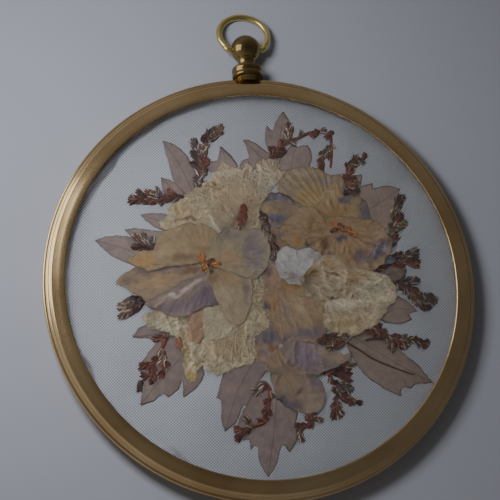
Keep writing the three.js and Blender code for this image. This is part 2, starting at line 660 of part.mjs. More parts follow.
// Lays each piece on the pad or on the pieces below it, in their order, and returns the meshes.
function lay(pieces) {
  const laid = [];
  return pieces.map(({ name, colour, layers }) => {
    const under = laid.filter(({ solid }) =>
      layers.some((layer) => layer.solid.intersect(solid).volume() > 0),
    );
    const bottom = Math.max(PAD.top, ...under.map(({ top }) => top)) + LAY_GAP;
    layers.forEach(({ solid, thickness }) => laid.push({ solid, top: bottom + thickness }));
    const mesh = named(name, geometryOf(together(layers.map(({ solid }) => solid))), colour);
    mesh.position.z = bottom;
    return mesh;
  });
}

const frame = new THREE.Group();
frame.add(
  rim(),
  named("backing_card", disc(CARD), "card"),
  named("satin_pad", pad(), "satin"),
  named("glass", disc(GLASS), "glass"),
  finial(),
  bail(),
  ...lay(pressedPieces()),
);

export default frame;
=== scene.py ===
"""Dresses a small round brass frame of pressed flowers, leaves and sprigs under glass.

Sizes are millimetres in the classes below. Each mesh is built in millimetres and scaled to
metres in one place, so every finished object sits at the origin, unturned and unscaled.
"""

from __future__ import annotations

import logging
import math
import random
from dataclasses import dataclass, field
from enum import Enum
from typing import Any, Sequence

import bmesh
import bpy
import numpy as np
from mathutils import Matrix, Vector, noise

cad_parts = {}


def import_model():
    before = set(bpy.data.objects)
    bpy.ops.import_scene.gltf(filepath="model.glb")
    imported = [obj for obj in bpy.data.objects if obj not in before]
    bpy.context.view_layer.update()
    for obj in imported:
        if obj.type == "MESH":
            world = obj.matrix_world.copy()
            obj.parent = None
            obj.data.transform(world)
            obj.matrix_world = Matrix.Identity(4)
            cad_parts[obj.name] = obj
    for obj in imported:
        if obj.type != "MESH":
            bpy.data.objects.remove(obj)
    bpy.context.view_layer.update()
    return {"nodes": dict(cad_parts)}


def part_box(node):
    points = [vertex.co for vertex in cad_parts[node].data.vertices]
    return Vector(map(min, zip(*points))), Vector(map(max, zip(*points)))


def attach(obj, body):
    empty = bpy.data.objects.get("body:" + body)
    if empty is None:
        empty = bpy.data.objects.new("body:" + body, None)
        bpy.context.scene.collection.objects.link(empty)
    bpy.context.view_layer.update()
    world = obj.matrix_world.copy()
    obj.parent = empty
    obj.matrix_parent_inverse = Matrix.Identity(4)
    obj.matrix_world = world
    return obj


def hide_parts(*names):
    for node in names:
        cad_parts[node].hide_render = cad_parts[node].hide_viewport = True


LOG = logging.getLogger("pressed_flower_frame")
MM = 0.001
FRAME_BODY = "frame"
RING_BODY = "bail"
Point = tuple[float, float]
Array = np.ndarray


# ---------------------------------------------------------------- colour and nodes


def linear(colour: str) -> tuple[float, float, float, float]:
    """Turns an sRGB hex colour into linear values.

    Args:
        colour: Six hex digits after a hash.

    Returns:
        Red, green, blue and a full alpha.
    """
    parts = [int(colour[i : i + 2], 16) / 255 for i in (1, 3, 5)]
    lit = [c / 12.92 if c <= 0.04045 else ((c + 0.055) / 1.055) ** 2.4 for c in parts]
    return lit[0], lit[1], lit[2], 1.0


def add_node(
    tree: bpy.types.NodeTree, kind: str, inputs: dict[str | int, Any] | None = None,
    stops: Sequence[tuple[float, str]] = (), **settings: Any,
) -> bpy.types.Node:
    """Adds a node with its settings and links.

    Args:
        tree: The material's or the world's node tree.
        kind: The node's type name, without the word that they all start with.
        inputs: Values for its sockets, or the nodes and output sockets that feed them.
        stops: Positions and hex colours, where the node is a colour ramp.
        settings: Properties of the node.

    Returns:
        The new node.
    """
    node = tree.nodes.new(f"ShaderNode{kind}")
    for key, value in settings.items():
        setattr(node, key, value)
    for key, value in (inputs or {}).items():
        feed = value.outputs[0] if isinstance(value, bpy.types.Node) else value
        if isinstance(feed, bpy.types.NodeSocket):
            tree.links.new(feed, node.inputs[key])
        else:
            node.inputs[key].default_value = feed
    for i, (place, colour) in enumerate(stops):
        ramp = node.color_ramp.elements
        stop = ramp[i] if i < len(ramp) else ramp.new(place)
        stop.position, stop.color = place, linear(colour)
    return node


@dataclass(frozen=True)
class Finish:
    """What every finish shares: the name of the real material and how its surface was made."""

    name: str
    slot: str

    def build(self) -> bpy.types.Material:
        """Makes the material, or returns it if it was made before.

        Returns:
            The material.
        """
        made = bpy.data.materials.get(self.name)
        if made:
            return made
        material = bpy.data.materials.new(self.name)
        material.use_nodes = True
        tree = material.node_tree
        tree.nodes.clear()
        shader = add_node(tree, "BsdfPrincipled", self.feeds(tree))
        add_node(tree, "OutputMaterial", {"Surface": shader})
        return material

    def feeds(self, tree: bpy.types.NodeTree) -> dict[str, Any]:
        """Adds what feeds the Principled shader, and returns its inputs; each finish has its own."""
        raise NotImplementedError

    def dress(self, piece: bpy.types.Object) -> None:
        """Puts the finish on a new piece."""
        piece.data.materials.append(self.build())


@dataclass(frozen=True)
class AgedBrass(Finish):
    """Brass plate, spun and polished, dulled to brown gold: soft reflections."""

    light: str = "#e0c394"
    dull: str = "#c8a878"
    roughness: tuple[float, float] = (0.15, 0.2)
    tarnish_mm: float = 22.0

    def feeds(self, tree: bpy.types.NodeTree) -> dict[str, Any]:
        """Mixes bright and dull brass in broad stains.

        Args:
            tree: The material's node tree.

        Returns:
            The shader's inputs.
        """
        place = add_node(tree, "TexCoord").outputs["Object"]
        size = 1 / (self.tarnish_mm * MM)
        stain = add_node(tree, "TexNoise", {"Vector": place, "Scale": size, "Detail": 5.0})
        colour = add_node(tree, "ValToRGB", {"Fac": stain}, ((0.36, self.dull), (0.62, self.light)))
        least, most = self.roughness
        span = {"From Min": 0.35, "From Max": 0.65, "To Min": least, "To Max": most}
        rough = add_node(tree, "MapRange", {"Value": stain, **span})
        return {"Metallic": 1.0, "Base Color": colour, "Roughness": rough}


@dataclass(frozen=True)
class WovenSatin(Finish):
    """Plain-woven acetate satin: pale blue-grey threads that each catch a little light.

    Real threads are too fine to show. These are drawn 0.34 mm wide; each crossing has a faint painted
    highlight, and the hollows between have a faint painted shade.
    """

    light: str = "#dddcda"
    shade: str = "#85888c"
    thread_mm: float = 0.34
    crown_mm: float = 0.06
    turn_deg: float = 2.0
    sheen: float = 0.6
    roughness: float = 0.46

    def feeds(self, tree: bpy.types.NodeTree) -> dict[str, Any]:
        """Raises one small bump where each warp thread crosses over a weft thread, painted lighter on top
        and darker in the hollows.

        Args:
            tree: The material's node tree.

        Returns:
            The shader's inputs.
        """
        place = add_node(tree, "TexCoord").outputs["Object"]
        turn = (0.0, 0.0, math.radians(self.turn_deg))
        axes = add_node(
            tree, "SeparateXYZ", {"Vector": add_node(tree, "Mapping", {"Vector": place, "Rotation": turn})},
        )
        per_thread = math.pi / (self.thread_mm * MM)
        waves = []
        for axis in ("X", "Y"):
            phase = add_node(tree, "Math", {0: axes.outputs[axis], 1: per_thread}, operation="MULTIPLY")
            waves.append(add_node(tree, "Math", {0: phase}, operation="SINE"))
        weave = add_node(tree, "Math", dict(enumerate(waves)), operation="MULTIPLY")
        # 7 to 10 are the lowest and highest inputs and outputs of the vector range
        span = {7: (-1.0,) * 3, 8: (1.0,) * 3, 9: linear(self.shade)[:3], 10: linear(self.light)[:3]}
        # painted highlight on each thread crossing, painted shade in the hollows between
        colour = add_node(tree, "MapRange", {"Vector": weave, **span}, data_type="FLOAT_VECTOR")
        bump = add_node(tree, "Bump", {"Height": weave, "Strength": 0.8, "Distance": self.crown_mm * MM})
        return {
            "Metallic": self.sheen, "Roughness": self.roughness, "Base Color": colour.outputs["Vector"],
            "Normal": bump,
        }


@dataclass(frozen=True)
class ClearGlass(Finish):
    """Float glass, cut to a round pane: see-through and clear."""

    absorbs: str = "#fafafa"

    def feeds(self, tree: bpy.types.NodeTree) -> dict[str, Any]:
        """Makes plain clear transmission."""
        clear = {"Transmission Weight": 1.0, "Roughness": 0.0, "IOR": 1.45}
        return {"Base Color": linear(self.absorbs), **clear}


@dataclass(frozen=True)
class PressedCard(Finish):
    """Grey-brown board pressed from paper pulp: matt, flecked, with short fibres."""

    light: str = "#a08e77"
    dark: str = "#7c6b57"
    fibre_mm: float = 0.7
    nap_mm: float = 0.08

    def feeds(self, tree: bpy.types.NodeTree) -> dict[str, Any]:
        """Flecks the board and roughens it with short fibres.

        Args:
            tree: The material's node tree.

        Returns:
            The shader's inputs.
        """
        place = add_node(tree, "TexCoord").outputs["Object"]
        longer = add_node(tree, "Mapping", {"Vector": place, "Scale": (1.0, 3.5, 1.0)})
        size = 1 / (self.fibre_mm * MM)
        fibre = add_node(
            tree, "TexNoise", {"Vector": longer, "Scale": size, "Detail": 6.0, "Roughness": 0.7},
        )
        colour = add_node(tree, "ValToRGB", {"Fac": fibre}, ((0.32, self.dark), (0.66, self.light)))
        bump = add_node(tree, "Bump", {"Height": fibre, "Strength": 0.6, "Distance": self.nap_mm * MM})
        return {"Roughness": 0.92, "Base Color": colour, "Normal": bump}


@dataclass(frozen=True)
class DriedTissue(Finish):
    """Pressed plant tissue: matt and papery, its colour in "tint" (on petals and leaves with painted shade
    and highlight at the creases), fibres along "grain".
    """

    fibre_mm: float = 0.28
    streak: float = 0.16
    crinkle_mm: float = 0.55
    crinkle_depth: float = 0.07
    vein_spacing: float = 0.0
    vein_dark: float = 0.28
    roughness: float = 0.62

    def feeds(self, tree: bpy.types.NodeTree) -> dict[str, Any]:
        """Streaks the piece's tint along its grain, and adds fine crinkles and veins.

        Args:
            tree: The material's node tree.

        Returns:
            The shader's inputs.
        """
        place = add_node(tree, "TexCoord").outputs["Object"]
        tint = add_node(tree, "Attribute", attribute_name="tint")
        grain = add_node(tree, "Attribute", attribute_name="grain").outputs["Vector"]
        along = add_node(tree, "Mapping", {"Vector": grain, "Scale": (0.12, 1.0, 1.0)})
        fibres = add_node(tree, "TexNoise", {"Vector": along, "Scale": 1 / self.fibre_mm, "Detail": 3.0})
        span = {"From Min": 0.3, "From Max": 0.7, "To Min": 1 - self.streak, "To Max": 1 + self.streak}
        strength = add_node(tree, "MapRange", {"Value": fibres, **span})
        crinkles = {"Vector": place, "Scale": 1 / (self.crinkle_mm * MM), "Detail": 3.0}
        crinkle = add_node(tree, "TexNoise", crinkles, noise_type="RIDGED_MULTIFRACTAL")
        relief = add_node(tree, "Math", {0: crinkle, 1: fibres}, operation="ADD")
        if self.vein_spacing:
            vein = self.veins(tree, grain)
            darker = add_node(tree, "Math", {0: vein, 1: -self.vein_dark, 2: 1.0}, operation="MULTIPLY_ADD")
            strength = add_node(tree, "Math", {0: strength, 1: darker}, operation="MULTIPLY")
            relief = add_node(tree, "Math", {0: relief, 1: vein}, operation="ADD")
        colour = add_node(tree, "VectorMath", {"Vector": tint, "Scale": strength}, operation="SCALE")
        depth = self.crinkle_depth * MM
        bump = add_node(tree, "Bump", {"Height": relief, "Strength": 0.7, "Distance": depth})
        return {
            "Roughness": self.roughness, "Specular IOR Level": 0.35, "Base Color": colour, "Normal": bump,
        }

    def veins(self, tree: bpy.types.NodeTree, grain: bpy.types.NodeSocket) -> bpy.types.Node:
        """Draws a midrib and side veins that leave it at a slant.

        A real vein is under 0.1 mm wide. These are drawn twice as wide, so that they show.

        Args:
            tree: The material's node tree.
            grain: How far a point is along the midrib and to its side, in millimetres.

        Returns:
            A node whose value is 1 on a vein and 0 between veins.
        """
        axes = add_node(tree, "SeparateXYZ", {"Vector": grain})
        aside = add_node(tree, "Math", {0: axes.outputs["Y"]}, operation="ABSOLUTE")
        slant = add_node(tree, "Math", {0: aside, 1: -1.7, 2: axes.outputs["X"]}, operation="MULTIPLY_ADD")
        phase = add_node(tree, "Math", {0: slant, 1: math.pi / self.vein_spacing}, operation="MULTIPLY")
        wave = add_node(tree, "Math", {0: phase}, operation="SINE")
        near = add_node(tree, "Math", {0: wave}, operation="ABSOLUTE")
        lines = []
        for off, edge, width, depth in ((near, 0.0, 0.2, 0.45), (aside, 0.08, 0.2, 1.0)):
            span = {"From Min": edge, "From Max": width, "To Min": depth, "To Max": 0.0}
            lines.append(add_node(tree, "MapRange", {"Value": off, **span}))
        return add_node(tree, "Math", dict(enumerate(lines)), operation="MAXIMUM")


@dataclass(frozen=True)
class PaintedFloor(Finish):
    """Matt white-painted board: a plain pale floor."""

    colour: str = "#929294"

    def feeds(self, tree: bpy.types.NodeTree) -> dict[str, Any]:
        """Sets the plain colour."""
        return {"Base Color": linear(self.colour), "Roughness": 0.85}


BRASS = AgedBrass("spun brass, polished and dulled", "brass")
# a darker copy of the rim's brass: painted shade for the dark reflections on the finial's ball and collar
FINIAL_BRASS_PAINTED_DARKER = AgedBrass(
    "turned brass, dulled", "brass", light="#a08a5c", dull="#74613c", roughness=(0.08, 0.12),
)
WIRE_BRASS = AgedBrass("drawn brass wire", "brass", light="#e6d58c", dull="#cdb76c")
SATIN = WovenSatin("acetate satin, woven", "satin")
GLASS = ClearGlass("float glass, polished", "glass")
CARD = PressedCard("pulp board, pressed", "card")
LEAF = DriedTissue(
    "leaf, pressed and dried", "leaf", streak=0.07, crinkle_mm=1.1, crinkle_depth=0.02, vein_spacing=2.7,
)
BRACT = DriedTissue("bracts, pressed and dried", "sprig", streak=0.3, crinkle_depth=0.03)
ANTHER = DriedTissue("stamens, pressed and dried", "sprig", streak=0.2, crinkle_depth=0.03)
FLOOR = PaintedFloor("board, painted white", "floor")


class Petal(Enum):
    """The four kinds of dried petal, by the colour that they faded to."""

    CREAM = DriedTissue(
        "cream petal, pressed and dried", "petal_cream", streak=0.08, crinkle_mm=0.9, crinkle_depth=0.85,
    )
    TAN = DriedTissue("tan petal, pressed and dried", "petal_tan", streak=0.08, crinkle_depth=0.16)
    MAUVE = DriedTissue("mauve petal, pressed and dried", "petal_mauve", streak=0.09, crinkle_depth=0.16)
    PALE = DriedTissue("pale petal, pressed and dried", "petal_pale", streak=0.08, crinkle_depth=0.2)


# ---------------------------------------------------------------- meshes and pieces


def placed(bm: bmesh.types.BMesh, name: str) -> bpy.types.Object:
    """Turns a millimetre bmesh into an object of the scene, in metres.

    Args:
        bm: The mesh, in millimetres; it is freed here.
        name: The object's name.

    Returns:
        The new object, at the origin.
    """
    bmesh.ops.scale(bm, vec=(MM, MM, MM), verts=bm.verts)
    mesh = bpy.data.meshes.new(name)
    bm.to_mesh(mesh)
    bm.free()
    thing = bpy.data.objects.new(name, mesh)
    bpy.context.scene.collection.objects.link(thing)
    return thing


def finish_piece(
    bm: bmesh.types.BMesh, name: str, body: str, finish: Finish, *nodes: str,
) -> bpy.types.Object:
    """Turns a millimetre bmesh into a dressed piece that rides on a body.

    Args:
        bm: The mesh, in millimetres; it is freed here.
        name: The piece's name.
        body: The body that it moves with.
        finish: Its finish.
        nodes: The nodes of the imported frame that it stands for.

    Returns:
        The new object, at the origin.
    """
    piece = placed(bm, name)
    finish.dress(piece)
    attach(piece, body)
    if nodes:
        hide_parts(*nodes)
    LOG.info("%s: %d faces", name, len(piece.data.polygons))
    return piece


def set_smooth(piece: bpy.types.Object) -> None:
    """Shades every face of a piece smooth."""
    piece.data.polygons.foreach_set("use_smooth", [True] * len(piece.data.polygons))


def arc_points(centre: Point, radius: float, start: float, end: float, steps: int) -> list[Point]:
    """Gives the points of an arc, both ends included; its angles are in degrees."""
    turns = [math.radians(start + (end - start) * i / steps) for i in range(steps + 1)]
    return [(centre[0] + radius * math.cos(a), centre[1] + radius * math.sin(a)) for a in turns]


def spun(section: Sequence[Point], axis: Vector, centre: Vector, steps: int) -> bmesh.types.BMesh:
    """Spins a section into a closed turned shape.

    Args:
        section: (distance from the axis, place along it) pairs; closed where it has no end on
            the axis.
        axis: The axis, +Z or +Y.
        centre: A point on it.
        steps: How many steps make the full turn.

    Returns:
        The shape, with its doubles merged and its faces pointing out.
    """
    bm = bmesh.new()
    verts = [bm.verts.new(centre + Vector((r, 0, 0)) + axis * h) for r, h in section]
    edges = [bm.edges.new(pair) for pair in zip(verts, verts[1:])]
    if section[0][0] > 0 and section[-1][0] > 0:
        edges.append(bm.edges.new((verts[-1], verts[0])))
    bmesh.ops.spin(
        bm, geom=verts + edges, cent=centre, axis=axis, angle=math.tau, steps=steps, use_merge=True,
    )
    bmesh.ops.remove_doubles(bm, verts=bm.verts, dist=1e-4)
    bmesh.ops.recalc_face_normals(bm, faces=bm.faces)
    return bm


def noise_at(x: Array, y: Array, scale: float, seed: float) -> Array:
    """Samples smooth noise.

    Args:
        x: Places across.
        y: Places up, of the same shape.
        scale: The size of the noise's features.
        seed: Picks a different pattern.

    Returns:
        Values from about -1 to 1, in the same shape.
    """
    values = [
        noise.noise(Vector((a, b, seed)))
        for a, b in zip((x / scale).ravel().tolist(), (y / scale).ravel().tolist())
    ]
    return np.array(values).reshape(x.shape) * 1.6


def soften(grid: Array, passes: int) -> Array:
    """Blurs a grid of heights.

    Args:
        grid: The heights.
        passes: How many times to average each cell with its neighbours.

    Returns:
        The softer heights.
    """
    for _ in range(passes):
        for axis in (0, 1):
            grid = (np.roll(grid, 1, axis) + 2 * grid + np.roll(grid, -1, axis)) / 4
    return grid


@dataclass
class Bed:
    """The heights of what lies on the pad, on a square grid, as piece after piece is laid."""

    pad_top: float = 3.8
    ceiling: float = 4.96
    half_width: float = 48.0
    cell: float = 0.25
    sink: float = 0.5
    sink_passes: int = 80
    bulge: float = 1.05
    bulge_passes: int = 36
    clear_cells: int = 3
    hold_down: float = 2.2
    x: Array = field(init=False)
    y: Array = field(init=False)
    height: Array = field(init=False)
    sunk: Array = field(init=False)
    puffed: Array = field(init=False)

    def __post_init__(self) -> None:
        """Starts with the bare pad."""
        axis = np.arange(-self.half_width, self.half_width + self.cell, self.cell)
        self.x, self.y = np.meshgrid(axis, axis)
        self.height = np.full(self.x.shape, self.pad_top)
        self.sunk = np.zeros(self.x.shape)
        self.puffed = np.zeros(self.x.shape)

    def window(self, outline: Sequence[Point], margin: float = 3.0) -> tuple[slice, slice]:
        """Finds the part of the grid around an outline.

        Args:
            outline: The outline's points.
            margin: How far to reach past it.

        Returns:
            Row and column slices.
        """
        slices = []
        for values in ([p[1] for p in outline], [p[0] for p in outline]):
            low = (min(values) - margin + self.half_width) / self.cell
            high = (max(values) + margin + self.half_width) / self.cell
            slices.append(slice(max(int(low), 0), int(high) + 2))
        return slices[0], slices[1]

    def sample(self, grid: Array, x: Array, y: Array) -> Array:
        """Reads a full grid between its cells.

        Args:
            grid: Any grid of this bed's shape.
            x: Places across.
            y: Places up.

        Returns:
            The grid's values there.
        """
        last = grid.shape[0] - 2
        across = np.clip((x + self.half_width) / self.cell, 0, last)
        up = np.clip((y + self.half_width) / self.cell, 0, last)
        col, row = across.astype(int), up.astype(int)
        fx, fy = across - col, up - row
        low = grid[row, col] * (1 - fx) + grid[row, col + 1] * fx
        high = grid[row + 1, col] * (1 - fx) + grid[row + 1, col + 1] * fx
        return low * (1 - fy) + high * fy

    def press(self) -> None:
        """Lets the pad sink under what lies on it, and swell up to the glass around it."""
        self.sunk = self.sink * soften(self.height - self.pad_top, self.sink_passes)
        covered = (self.height > self.pad_top).astype(float)
        for _ in range(self.clear_cells):
            covered = grown(covered)
        free = np.clip(1 - self.hold_down * soften(covered, self.bulge_passes), 0, 1)
        self.puffed = self.bulge * free * free * (3 - 2 * free)

    def lower(self, piece: bpy.types.Object) -> None:
        """Lets a laid piece go down with the pad.

        Args:
            piece: A petal, leaf or sprig, in metres.
        """
        points = np.empty(len(piece.data.vertices) * 3)
        piece.data.vertices.foreach_get("co", points)
        points = points.reshape(-1, 3)
        points[:, 2] -= self.sample(self.sunk, points[:, 0] / MM, points[:, 1] / MM) * MM
        piece.data.vertices.foreach_set("co", points.ravel())
        piece.data.update()


def inside(outline: Sequence[Point], x: Array, y: Array) -> Array:
    """Tests which places lie inside an outline.

    Args:
        outline: The outline's points in order.
        x: Places across.
        y: Places up.

    Returns:
        True where a place is inside.
    """
    result = np.zeros(x.shape, dtype=bool)
    for (x0, y0), (x1, y1) in zip(outline, list(outline[1:]) + [outline[0]]):
        if y0 != y1:
            crossing = x0 + (y - y0) * (x1 - x0) / (y1 - y0)
            result ^= ((y0 > y) != (y1 > y)) & (x < crossing)
    return result


def outline_of(node: bpy.types.Object) -> list[Point]:
    """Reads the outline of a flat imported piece.

    Args:
        node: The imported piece's object.

    Returns:
        The points of its upper edge in order, in millimetres.
    """
    bm = bmesh.new()
    bm.from_mesh(node.data)
    bmesh.ops.remove_doubles(bm, verts=bm.verts, dist=1e-6)
    top = max(v.co.z for v in bm.verts) - 1e-5
    caps = {f for f in bm.faces if all(v.co.z > top for v in f.verts)}
    links: dict[int, list[int]] = {}
    for edge in bm.edges:
        if sum(f in caps for f in edge.link_faces) == 1:
            a, b = (v.index for v in edge.verts)
            links.setdefault(a, []).append(b)
            links.setdefault(b, []).append(a)
    bm.verts.ensure_lookup_table()
    start = min(links)
    loop, previous = [start], None
    while True:
        ahead = [v for v in links[loop[-1]] if v != previous]
        previous = loop[-1]
        if not ahead or ahead[0] == start:
            break
        loop.append(ahead[0])
    points = [(bm.verts[i].co.x / MM, bm.verts[i].co.y / MM) for i in loop]
    bm.free()
    return points


def eased(before: Vector, a: Vector, b: Vector, after: Vector, step: float) -> list[Point]:
    """Rounds one stretch of a line, from its start to just before its end.

    Args:
        before: The point before the stretch.
        a: The stretch's start.
        b: The stretch's end.
        after: The point after the stretch.
        step: The distance between the new points.

    Returns:
        The new points.
    """
    parts = max(1, round((b - a).length / step))
    result = []
    for k in range(parts):
        t = k / parts
        spot = 0.5 * (
            2 * a
            + (b - before) * t
            + (2 * before - 5 * a + 4 * b - after) * t**2
            + (3 * a - before - 3 * b + after) * t**3
        )
        result.append((spot.x, spot.y))
    return result


def smooth_outline(points: Sequence[Point], corner_deg: float, step: float) -> list[Point]:
    """Rounds an outline through its points, but keeps its sharp corners.

    Args:
        points: The outline's points in order.
        corner_deg: An edge that turns by more than this keeps its corner.
        step: The distance between the new points.

    Returns:
        The denser outline.
    """
    count = len(points)
    p = [Vector(q) for q in points]
    sharp = []
    for i in range(count):
        back, ahead = p[i] - p[i - 1], p[(i + 1) % count] - p[i]
        sharp.append(back.length > 0 and ahead.length > 0 and back.angle(ahead) > math.radians(corner_deg))
    result = []
    for i in range(count):
        a, b = p[i], p[(i + 1) % count]
        before = a if sharp[i] else p[i - 1]
        after = b if sharp[(i + 1) % count] else p[(i + 2) % count]
        result += eased(before, a, b, after, step)
    return result


def ragged(points: Sequence[Point], amount: float, seed: float) -> list[Point]:
    """Makes an outline slightly uneven, as a dried edge is.

    Args:
        points: The outline's points.
        amount: How far an edge strays.
        seed: Picks a different pattern.

    Returns:
        The uneven outline.
    """
    x, y = np.array(points).T
    shift_x = noise_at(x, y, 1.3, seed) + 0.5 * noise_at(x, y, 0.5, seed + 3)
    shift_y = noise_at(x, y, 1.3, seed + 7) + 0.5 * noise_at(x, y, 0.5, seed + 11)
    return list(zip((x + amount * shift_x).tolist(), (y + amount * shift_y).tolist()))


# ---------------------------------------------------------------- petals and leaves


@dataclass(frozen=True)
class Zone:
    """A turned oval part of a petal, with a soft edge."""

    x: float
    y: float
    half_length: float
    half_width: float
    turn: float
    FADE = 0.9

    def share(self, x: Array, y: Array, power: float) -> Array:
        """Says how much each place belongs to the zone.

        Args:
            x: Places across.
            y: Places up.
            power: How sharp the zone's edge is.

        Returns:
            Values from 0 outside to 1 in the middle.
        """
        turn = math.radians(self.turn)
        dx, dy = x - self.x, y - self.y
        u = (dx * math.cos(turn) + dy * math.sin(turn)) / self.half_length
        v = (dy * math.cos(turn) - dx * math.sin(turn)) / self.half_width
        return np.exp(-self.FADE * (u * u + v * v) ** power)


@dataclass(frozen=True)
class Patch(Zone):
    """A soft-edged patch of another colour on a petal; thin lines along some creases are painted shade and
    highlight.
    """

    colour: str
    strength: float = 0.85


@dataclass(frozen=True)
class Fold:
    """A crease in a petal: its line, how high it stands (or how deep it is), its width."""

    line: Sequence[Point]
    height: float = 0.2
    width: float = 0.3
    one_sided: bool = False

    def rise(self, x: Array, y: Array) -> Array:
        """Works out how far the crease lifts the sheet.

        Args:
            x: Places across.
            y: Places up.

        Returns:
            Heights in millimetres; one-sided folds fall away slowly on their right.
        """
        off, side = np.full(x.shape, np.inf), np.zeros(x.shape)
        for (x0, y0), (x1, y1) in zip(self.line, self.line[1:]):
            length = math.hypot(x1 - x0, y1 - y0)
            ux, uy = (x1 - x0) / length, (y1 - y0) / length
            t = np.clip((x - x0) * ux + (y - y0) * uy, 0, length)
            away = np.hypot(x - x0 - t * ux, y - y0 - t * uy)
            cross = (y - y0) * ux - (x - x0) * uy
            side = np.where(away < off, cross, side)
            off = np.minimum(off, away)
        width = np.where((side < 0) & self.one_sided, 5 * self.width, self.width)
        return self.height * np.exp(-off / width)


@dataclass(frozen=True)
class Rough(Zone):
    """A zone where a petal is crinkled more, or less, than elsewhere."""

    amount: float


@dataclass
class Film:
    """A pressed petal or leaf: a thin sheet draped over what was laid before it."""

    name: str
    finish: Finish
    colour: str
    root: Point
    patches: Sequence[Patch] = ()
    spine: Sequence[Point] = ()
    folds: Sequence[Fold] = ()
    rough: Sequence[Rough] = ()
    crumple: float = 0.1
    crumple_mm: float = 2.2
    grit: float = 0.0
    grit_mm: float = 0.8
    stretch: float = 1.0
    pleat: float = 0.0
    pleats: float = 7.0
    swell: float = 0.05
    edge_shade: float = 1.0
    # how strongly the ridges are painted lighter and the hollows painted darker
    painted_relief_shade: float = 0.2
    spread: float = 0.35
    outline: Sequence[Point] = ()
    corner: float = 28.0
    stiffness: int = 8
    cell: float = 0.3
    thickness: float = 0.04
    gap: float = 0.006
    raggedness: float = 0.24
    outline_step: float = 0.22
    soft_room: float = 0.3
    least_rise: float = 0.35
    level: float = 0.0

    @property
    def seed(self) -> float:
        """A number that is this film's own."""
        return sum(ord(c) * (i + 1) for i, c in enumerate(self.name)) % 997 / 7.0

    def grain(self, x: Array, y: Array) -> tuple[Array, Array]:
        """Measures places along and across the tissue's grain.

        Args:
            x: Places across the frame.
            y: Places up the frame.

        Returns:
            How far each is along the grain and to its side.
        """
        if not self.spine:
            dx, dy = x - self.root[0], y - self.root[1]
            reach = np.hypot(dx, dy)
            middle = math.atan2(
                np.mean([p[1] for p in self.outline]) - self.root[1],
                np.mean([p[0] for p in self.outline]) - self.root[0],
            )
            angle = (np.arctan2(dy, dx) - middle + math.pi) % math.tau - math.pi
            return reach, angle * max(float(np.mean(reach)), 1.0)
        best = np.full(x.shape, np.inf)
        along, aside = np.zeros(x.shape), np.zeros(x.shape)
        gone = 0.0
        for (x0, y0), (x1, y1) in zip(self.spine, self.spine[1:]):
            length = math.hypot(x1 - x0, y1 - y0)
            ux, uy = (x1 - x0) / length, (y1 - y0) / length
            t = (x - x0) * ux + (y - y0) * uy
            side = (y - y0) * ux - (x - x0) * uy
            off = np.hypot(t - np.clip(t, 0, length), side)
            nearer = off < best
            along = np.where(nearer, gone + t, along)
            aside = np.where(nearer, side, aside)
            best = np.minimum(best, off)
            gone += length
        return along, aside

    def wrinkles(self, x: Array, y: Array) -> Array:
        """Works out how high the sheet stands in its pleats and creases.

        Args:
            x: Places across.
            y: Places up.

        Returns:
            Heights above the sheet's lowest places, in millimetres.
        """
        along, aside = self.grain(x, y)
        wide, seed = self.crumple_mm, self.seed
        bend = noise_at(x, y, 2.4 * wide, seed + 1)
        u, v = along / self.stretch, aside
        creases = 1 - np.abs(noise_at(u + bend, v + 0.6 * bend, wide, seed + 2))
        fine = 1 - np.abs(noise_at(u, v, 0.42 * wide, seed + 4))
        height = np.clip(creases, 0, 1) ** 3 + 0.35 * np.clip(fine, 0, 1) ** 2
        if self.grit:
            grains = noise_at(u, v, self.grit_mm, seed + 21)
            grains += 0.6 * noise_at(u, v, 0.45 * self.grit_mm, seed + 22)
            height = height + self.grit / self.crumple * np.clip(0.7 * grains + 0.3, 0, 1)
        zone = np.ones(x.shape)
        for rough in self.rough:
            zone += (rough.amount - 1) * rough.share(x, y, 2)
        height = self.crumple * np.clip(zone, 0, None) * height
        if self.pleat:
            waves = np.sin(self.pleats * aside + 1.6 * noise_at(x, y, 4.0, seed + 5))
            height += self.pleat * (0.5 + 0.5 * waves) ** 1.5 * np.clip(along / 4, 0, 1)
        for fold in self.folds:
            wander = 0.25 * noise_at(x, y, 1.4, seed + 15)
            height += fold.rise(x + wander, y - wander)
        return height + self.swell * (1 + noise_at(x, y, 6.0, seed + 6))

    def tints(self, x: Array, y: Array, rise: Array, edge: Array) -> Array:
        """Works out the colour of each point, with painted shade in the hollows and painted highlight on
        the ridges.

        Args:
            x: Places across.
            y: Places up.
            rise: How high the sheet stands there, 0 to 1.
            edge: How near to the outline it is, 0 to 1.

        Returns:
            Rows of red, green, blue and alpha.
        """
        seed = self.seed
        warp_x = 0.7 * noise_at(x, y, 2.6, seed + 8) + 0.3 * noise_at(x, y, 0.9, seed + 9)
        warp_y = 0.7 * noise_at(x, y, 2.6, seed + 10) + 0.3 * noise_at(x, y, 0.9, seed + 12)
        colour = np.tile(np.array(linear(self.colour)), (len(x), 1))
        for patch in self.patches:
            share = (patch.strength * patch.share(x + warp_x, y + warp_y, 1.5))[:, None]
            colour = colour * (1 - share) + np.array(linear(patch.colour)) * share
        shade = 0.88 + 0.1 * noise_at(x, y, 1.7, seed + 13) + 0.07 * noise_at(x, y, 0.6, seed + 14)
        # painted highlight on the ridges and painted shade in the hollows, by how high the sheet stands
        shade *= 1 + self.painted_relief_shade * (1.4 * rise - 0.45)
        shade *= 1 - (1 - self.edge_shade) * edge
        colour[:, :3] *= shade[:, None]
        return np.clip(colour, 0, 1)

